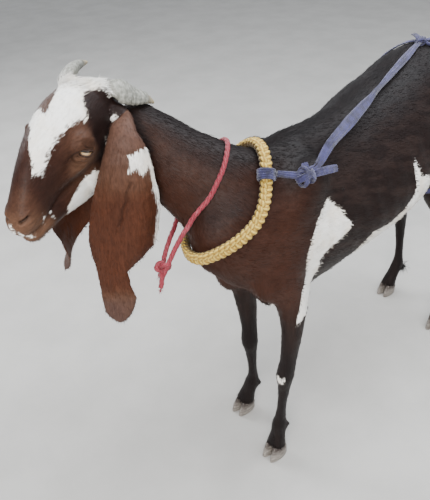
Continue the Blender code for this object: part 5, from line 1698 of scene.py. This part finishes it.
def makeCollar(s):
    line, length = resample(collarLine(), s["steps"], True)
    wide, out = lineFrames(line, softenLine(skinOuts(line), 60, True), True)
    line = line - out * s["lower"]
    turns = round(length / s["pitch"])
    say("collar, round its middle line:", round(length, 3), "m")
    phase = np.linspace(0, 2 * math.pi * turns, s["steps"], endpoint=False)
    meshes = []
    for k in range(3):
        own = phase + 2 * math.pi * k / 3
        path = line + wide * (s["half width"] * np.sin(own))[:, None]
        path = path + out * (s["half depth"] * np.sin(2 * own))[:, None]
        swell = 1 + 0.13 * np.sin(own * 2)
        profile = roundProfile(s["steps"], s["sides"], s["strand"]) * swell[:, None, None]
        meshes.append(sweepAlong("strand", path, out, profile, True, float(k)))
    return joinMeshes("collar", meshes)


ropeSettings = {
    # groove: the strength of the shade painted between the strands
    "plaited fibre": {"low": rgb(150, 114, 32), "high": rgb(212, 184, 88), "shadow": rgb(96, 68, 22),
                      "twist": 40.0, "gloss": 0.55, "bump": 0.40, "groove": 0.85},
    "red cord": {"low": rgb(104, 12, 28), "high": rgb(160, 44, 62), "shadow": rgb(176, 98, 108),
                 "twist": 120.0, "gloss": 0.42, "bump": 0.35, "groove": 0.15},
}


# Fibres laid round a strand, from the place along and around it
def ropeMaterial(name, c):
    made, tree, shader = newMaterial(name)
    along, around, _ = xyz(tree, attribute(tree, "run")["Vector"])
    lay = plus(tree, times(tree, along, c["twist"]), around)
    fibre = mathNode(tree, "SINE", times(tree, lay, 2 * math.pi * 4.0))
    place = objectPlace(tree)
    fuzz = noise(tree, place, 700.0, 3.0, 0.65)
    patchy = noise(tree, place, 70.0, 3.0, 0.6)
    mixed = plus(tree, times(tree, fibre, 0.25), fuzz)
    colour = mixColour(tree, ramp(tree, mixed, 0.25, 0.85), c["low"], c["high"])
    colour = mixColour(tree, ramp(tree, patchy, 0.55, 0.80, 0.0, 0.55), colour, c["shadow"])
    # Painted shade on the side of each strand that faces in and between the strands
    rise = mathNode(tree, "SINE", times(tree, around, 2 * math.pi))
    strand_shade = ramp(tree, rise, 0.70, -0.10, 0.0, c["groove"])
    colour = mixColour(tree, strand_shade, colour, rgb(46, 28, 12))  # between the strands
    height = plus(tree, times(tree, fibre, 0.5), times(tree, fuzz, 0.8))
    setInputs(tree, shader, {
        "Base Color": colour,
        "Roughness": ramp(tree, fuzz, 0.3, 0.7, c["gloss"], c["gloss"] + 0.2, False),
        "Normal": bumped(tree, height, c["bump"], 0.0008),
        "Sheen Weight": 0.12,
    })
    return made


collarFinish, cordFinish = (ropeMaterial(name, c) for name, c in ropeSettings.items())
dress(makeCollar(collarSettings), collarFinish, "rope", "collar")
say("collar")

loopSettings = {
    "strand": 0.0028,
    "offset": 0.0015,
    "pitch": 0.030,
    "bins": 64,
    "steps": 520,
    "sides": 8,
    "knot": (-0.020, -0.243, 0.566),
}
trefoilTurn = unit(np.array(((0.8, 0.5, 0.1), (-0.1, 0.2, 0.95), (0.5, -0.85, 0.2))))


# Three strands laid together, with a knot under the throat and two short ends
def makeNeckLoop(s):
    points = pointsOf(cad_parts["neck_loop"].data)
    knot = np.array(s["knot"]) + shift
    clear = points[np.linalg.norm(points - knot, axis=1) > 0.024]
    turnOf = turnsRound(clear)
    turn = (turnOf(clear) - turnOf(knot)) % (2 * math.pi)
    line = [knot]
    for k in range(s["bins"]):
        centre = (k + 0.5) * 2 * math.pi / s["bins"]
        near = clear[np.abs(turn - centre) < math.pi / s["bins"] * 1.5]
        if len(near) > 5:
            line.append(middleOf(near))
    line = softenLine(line, 2, True)
    line[0] = knot
    line, length = resample(line, s["steps"], True)
    say("red cord, round the neck:", round(length, 3), "m")
    meshes = laidRope(line, softenLine(skinOuts(line), 60, True), s, True)
    a = np.linspace(0, 2 * math.pi, 90, endpoint=False)
    ways = (np.sin(a) + 2 * np.sin(2 * a), np.cos(a) - 2 * np.cos(2 * a), -np.sin(3 * a) * 1.3)
    trefoil = knot + np.stack(ways, axis=1) @ trefoilTurn * 0.0036
    meshes += laidRope(trefoil, unit(trefoil - knot), s, True)
    for way, reach in (((0.25, -0.45, -0.86), 0.032), ((-0.50, 0.05, -0.86), 0.024)):
        way = unit(np.array(way))
        t = np.linspace(0, 1, 24)[:, None]
        end = knot + way * reach * t + np.array((0.2, -0.1, 0)) * 0.004 * np.sin(t * 3)
        meshes += laidRope(end, np.tile((0.7, -0.7, 0.1), (24, 1)), s, False)
        meshes += fray(end[-1], way)
    return joinMeshes("neck.loop", meshes)


def laidRope(line, outs, s, closed):
    wide, out = lineFrames(line, outs, closed)
    steps = walked(line)
    phase = steps * 2 * math.pi / s["pitch"]
    if closed:
        turns = max(1, round(steps[-1] / s["pitch"]))
        phase = steps / steps[-1] * 2 * math.pi * turns * (len(line) - 1) / len(line)
    profile = roundProfile(len(line), s["sides"], s["strand"])
    meshes = []
    for k in range(3):
        a = phase + 2 * math.pi * k / 3
        path = line + wide * (np.cos(a) * s["offset"])[:, None] + out * (np.sin(a) * s["offset"])[:, None]
        meshes.append(sweepAlong("strand", path, out, profile, closed, float(k)))
    return meshes


# Loose fibres at a cut end
def fray(place, way):
    rng = np.random.default_rng(12)
    meshes = []
    for _ in range(16):
        bend = unit(way + rng.normal(size=3) * 0.45)
        t = np.linspace(0, 1, 6)[:, None]
        line = place + (way * (1 - t) + bend * t) * t * rng.uniform(0.006, 0.011)
        profile = roundProfile(6, 4, 0.0005) * (1 - 0.6 * t)[:, None]
        meshes.append(sweepAlong("fibre", line, np.tile(unit(rng.normal(size=3)), (6, 1)), profile, False))
    return meshes


dress(makeNeckLoop(loopSettings), cordFinish, "cord", "neck_loop")
say("neck loop")

clothSettings = {"thick": 0.0042, "pleats": 5, "sides": 36}


# A rolled band's cross-sections, with pleats that wander along it
def clothProfile(widths, thick, seed, s=clothSettings):
    count = len(widths)
    rng = np.random.default_rng(seed)
    a = 2 * math.pi * np.arange(s["sides"]) / s["sides"]
    t = np.linspace(0, 1, count)[:, None]
    x = np.sign(np.cos(a)) * np.abs(np.cos(a)) ** 0.8
    y = np.sign(np.sin(a)) * np.abs(np.sin(a)) ** 0.7
    wander = 0.9 * np.sin(t * rng.uniform(5, 8) + rng.uniform(0, 6)) + 0.5 * np.sin(t * rng.uniform(14, 20))
    fold = np.sin(x[None] * math.pi * s["pleats"] / 2 + wander) * 0.20
    fold = fold + 0.10 * np.sin(x[None] * 11 + t * 30)
    high = thick * (0.5 + fold * (y[None] > 0) * 0.9 + 0.06 * np.sin(t * 40))
    return np.stack([x[None] * widths[:, None] / 2, y[None] * high], axis=-1)


def clothMaterial():
    made, tree, shader = newMaterial("rolled cloth")
    place = objectPlace(tree)
    along, around, _ = xyz(tree, attribute(tree, "run")["Vector"])
    weave = times(tree, mathNode(tree, "SINE", times(tree, along, 9000.0)),
                  mathNode(tree, "SINE", times(tree, around, 260.0)))
    wear = noise(tree, place, 60.0, 4.0, 0.6)
    fuzz = noise(tree, place, 620.0, 3.0, 0.6)
    colour = mixColour(tree, ramp(tree, wear, 0.35, 0.68), rgb(23, 21, 54), rgb(50, 49, 96))
    colour = mixColour(tree, ramp(tree, fuzz, 0.55, 0.85, 0.0, 0.5), colour, rgb(76, 77, 120))
    setInputs(tree, shader, {
        "Base Color": colour,
        "Roughness": ramp(tree, fuzz, 0.3, 0.7, 0.72, 0.92, False),
        "Normal": bumped(tree, plus(tree, times(tree, weave, 0.3), fuzz), 0.5, 0.0006),
        "Sheen Weight": 0.3,
    })
    return made


clothFinish = clothMaterial()


def makeLoinLoop(count=260):
    line, length = resample(ringLine("loin_loop", 60, 3), count, True)
    say("cloth round the loin:", round(length, 3), "m")
    t = np.linspace(0, 2 * math.pi, count, endpoint=False)
    widths = 0.0135 + 0.0018 * np.sin(t * 3) + 0.0010 * np.sin(t * 7 + 1)
    outs = softenLine(skinOuts(line), 12, True)
    mesh = sweepAlong("loin.loop", line, outs, clothProfile(widths, 0.0036, 2), True)
    return placeObject("loin.loop", mesh)


# The strap's middle line, from its front end to its rear end
def strapLine():
    points = pointsOf(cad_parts["strap"].data)
    low, high = points[:, 1].min(), points[:, 1].max()
    line = []
    for y in np.linspace(low, high, 26):
        line.append(middleOf(points[np.abs(points[:, 1] - y) < 0.014]))
    line = np.array(line)
    line[0] = points[points[:, 1] < low + 0.003].mean(axis=0)
    line[-1] = points[points[:, 1] > high - 0.003].mean(axis=0)
    return softenLine(line, 2, False)


def makeStrap(count=220):
    line = strapLine()
    ahead = unit(line[0] - line[2])
    line = np.vstack([line[0] + ahead * 0.012, line])
    line, length = resample(line, count, False)
    say("cloth strap:", round(length, 3), "m")
    wide, out = lineFrames(line, softenLine(skinOuts(line), 30, False), False)
    t = np.linspace(0, 1, count)
    widths = np.interp(t, (0, 0.05, 0.14, 0.34, 0.46, 0.55, 0.60, 0.68, 0.85, 0.97, 1.0),
                       (0.010, 0.012, 0.016, 0.021, 0.017, 0.009, 0.009, 0.013, 0.016, 0.012, 0.008))
    roll = (0.9 * bell(t, 0.57, 0.05) + 0.12 * np.sin(t * 21))[:, None]
    wideTurned = wide * np.cos(roll) + out * np.sin(roll)
    outTurned = out * np.cos(roll) - wide * np.sin(roll)
    thick = clothSettings["thick"] + 0.004 * bell(t, 0.57, 0.06)
    profile = clothProfile(widths, 1.0, 4)
    profile[:, :, 1] *= thick[:, None]
    return placeObject("strap", sweep("strap", line + out * 0.0006, wideTurned, outTurned, profile, False))


# A fold of cloth bent round in the plane of a and b
def ribbonLoop(centre, a, b, span, width, thick, seed):
    count = 70
    turns = np.linspace(0, 2 * math.pi, count)[:, None]
    outs = np.cos(turns) * a + np.sin(turns) * b
    line = centre + np.cos(turns) * a * span[0] + np.sin(turns) * b * span[1]
    return sweepAlong("fold", line, outs, clothProfile(np.full(count, width), thick, seed), False)


def clearOfSkin(point, gap):
    place, normal, _, _ = skinTree.find_nearest(Vector(point))
    place, normal = np.array(place), np.array(normal)
    if (point - place) @ normal < gap:
        return place + normal * gap
    return point


# A free end of cloth that lies on the coat
def clothEnd(start, way, rise, reach, widths, gap, rounds, seed):
    t = np.linspace(0, 1, len(widths))[:, None]
    line = start + way * reach * t + rise * 0.004 * np.sin(t * 2.6)
    line = softenLine([clearOfSkin(p, gap) for p in line], rounds, False)
    return sweepAlong("end", line, skinOuts(line), clothProfile(widths, 0.0030, seed), False)


knotFolds = (
    # centre: forward, across and up; first way, second way, span, width
    ((0.000, 0.000, 0.002), (0.9, 0.3, 0.2), (0.0, 0.35, 1.0), (0.0155, 0.0105), 0.0120),
    ((0.003, 0.002, 0.001), (0.3, 1.0, 0.1), (0.1, -0.1, 1.0), (0.0140, 0.0100), 0.0110),
    ((-0.004, -0.001, 0.003), (0.7, -0.7, 0.3), (0.4, 0.2, 1.0), (0.0150, 0.0096), 0.0105),
)
knotEnds = (
    # way: forward, across and up; length, width
    ((0.86, 0.44, -0.10), 0.072, 0.0140),
    ((0.70, -0.62, 0.05), 0.022, 0.0120),
)


# The cloth wound round the collar, its knot and its free ends
def makeKnot():
    collar = collarLine()
    front = strapLine()[0]
    back = unit(strapLine()[3] - front)
    knot = front - back * 0.016
    near = int(np.argmin(np.linalg.norm(collar - knot, axis=1)))
    hold = collar[near]
    cordWay = unit(collar[(near + 1) % len(collar)] - collar[near - 1])
    out = skinOut(knot)
    out = unit(out - back * (out @ back))
    turn = np.array((back, np.cross(back, out), out))
    holdOut = unit(skinOut(hold) - cordWay * (skinOut(hold) @ cordWay))
    holdSide = np.cross(cordWay, holdOut)
    meshes = []
    for k, offset in enumerate((-0.0045, 0.0040)):
        centre = hold + cordWay * offset - holdOut * 0.0015
        meshes.append(ribbonLoop(centre, holdOut, holdSide, (0.0128, 0.0140), 0.0098, 0.0030, 20 + k))
    start = hold + holdOut * 0.008
    link = np.array([start + (knot - start) * t for t in np.linspace(0.2, 1, 20)])
    wide, outs = lineFrames(link, np.tile(out, (20, 1)), False)
    for k, lift in enumerate((0.0, 0.0035)):
        profile = clothProfile(np.linspace(0.009, 0.012, 20), 0.0036, 30 + k)
        meshes.append(sweep("link", link + outs * lift, wide, outs, profile, False))
    for k, (offset, first, second, span, width) in enumerate(knotFolds):
        a = unit(np.array(first) @ turn)
        b = np.array(second) @ turn
        b = unit(b - a * (a @ b))
        meshes.append(ribbonLoop(knot + np.array(offset) @ turn, a, b, span, width, 0.0036, 40 + k))
    for k, (way, reach, width) in enumerate(knotEnds):
        widths = width * (0.75 + 0.25 * np.sin(np.linspace(0, 1, 40) * 2.8))
        goes = unit(np.array(way) @ turn)
        meshes.append(clothEnd(knot, goes, out, reach, widths, 0.0026, 4, 50 + k))
    return joinMeshes("strap.knot", meshes)


# The strap's rear end tied over the loop round the loin
def makeEndKnot():
    line = strapLine()
    rear, way = line[-1], unit(line[-1] - line[-3])
    out = skinOut(rear)
    side = np.cross(way, out)
    folds = (
        # centre: along, across and up; way, span
        ((0.004, 0.0, 0.0), way, (0.0100, 0.0062)),
        ((-0.003, 0.001, 0.001), unit(way + side * 0.8), (0.0085, 0.0060)),
    )
    meshes = []
    for k, (offset, a, span) in enumerate(folds):
        centre = rear + way * offset[0] + side * offset[1] + out * offset[2]
        meshes.append(ribbonLoop(centre, a, out, span, 0.0105, 0.0034, 60 + k))
    for k, (goes, reach) in enumerate(((unit(side + way * 0.5), 0.030), (unit(-side + way * 0.9), 0.036))):
        meshes.append(clothEnd(rear, goes, out, reach, np.full(30, 0.011), 0.003, 3, 70 + k))
    return joinMeshes("end.knot", meshes)


dress(makeLoinLoop(), clothFinish, "cloth", "loin_loop")
dress(makeStrap(), clothFinish, "cloth", "strap")
dress(makeKnot(), clothFinish, "cloth", "strap_knot")
dress(makeEndKnot(), clothFinish, "cloth")
say("strap and knots")


# Floor


def makeFloor():
    bm = bmesh.new()
    bmesh.ops.create_grid(bm, x_segments=2, y_segments=2, size=9.0)
    mesh = bpy.data.meshes.new("floor")
    bm.to_mesh(mesh)
    bm.free()
    floor = placeObject("floor", mesh)
    made, tree, shader = newMaterial("pale floor")
    grain = noise(tree, objectPlace(tree), 5.0, 5.0, 0.6)
    colour = mixColour(tree, ramp(tree, grain, 0.3, 0.7), rgb(176, 174, 170), rgb(186, 184, 180))
    setInputs(tree, shader, {"Base Color": colour, "Roughness": 0.85})
    mesh.materials.append(made)


makeFloor()
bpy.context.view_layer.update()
say("done")
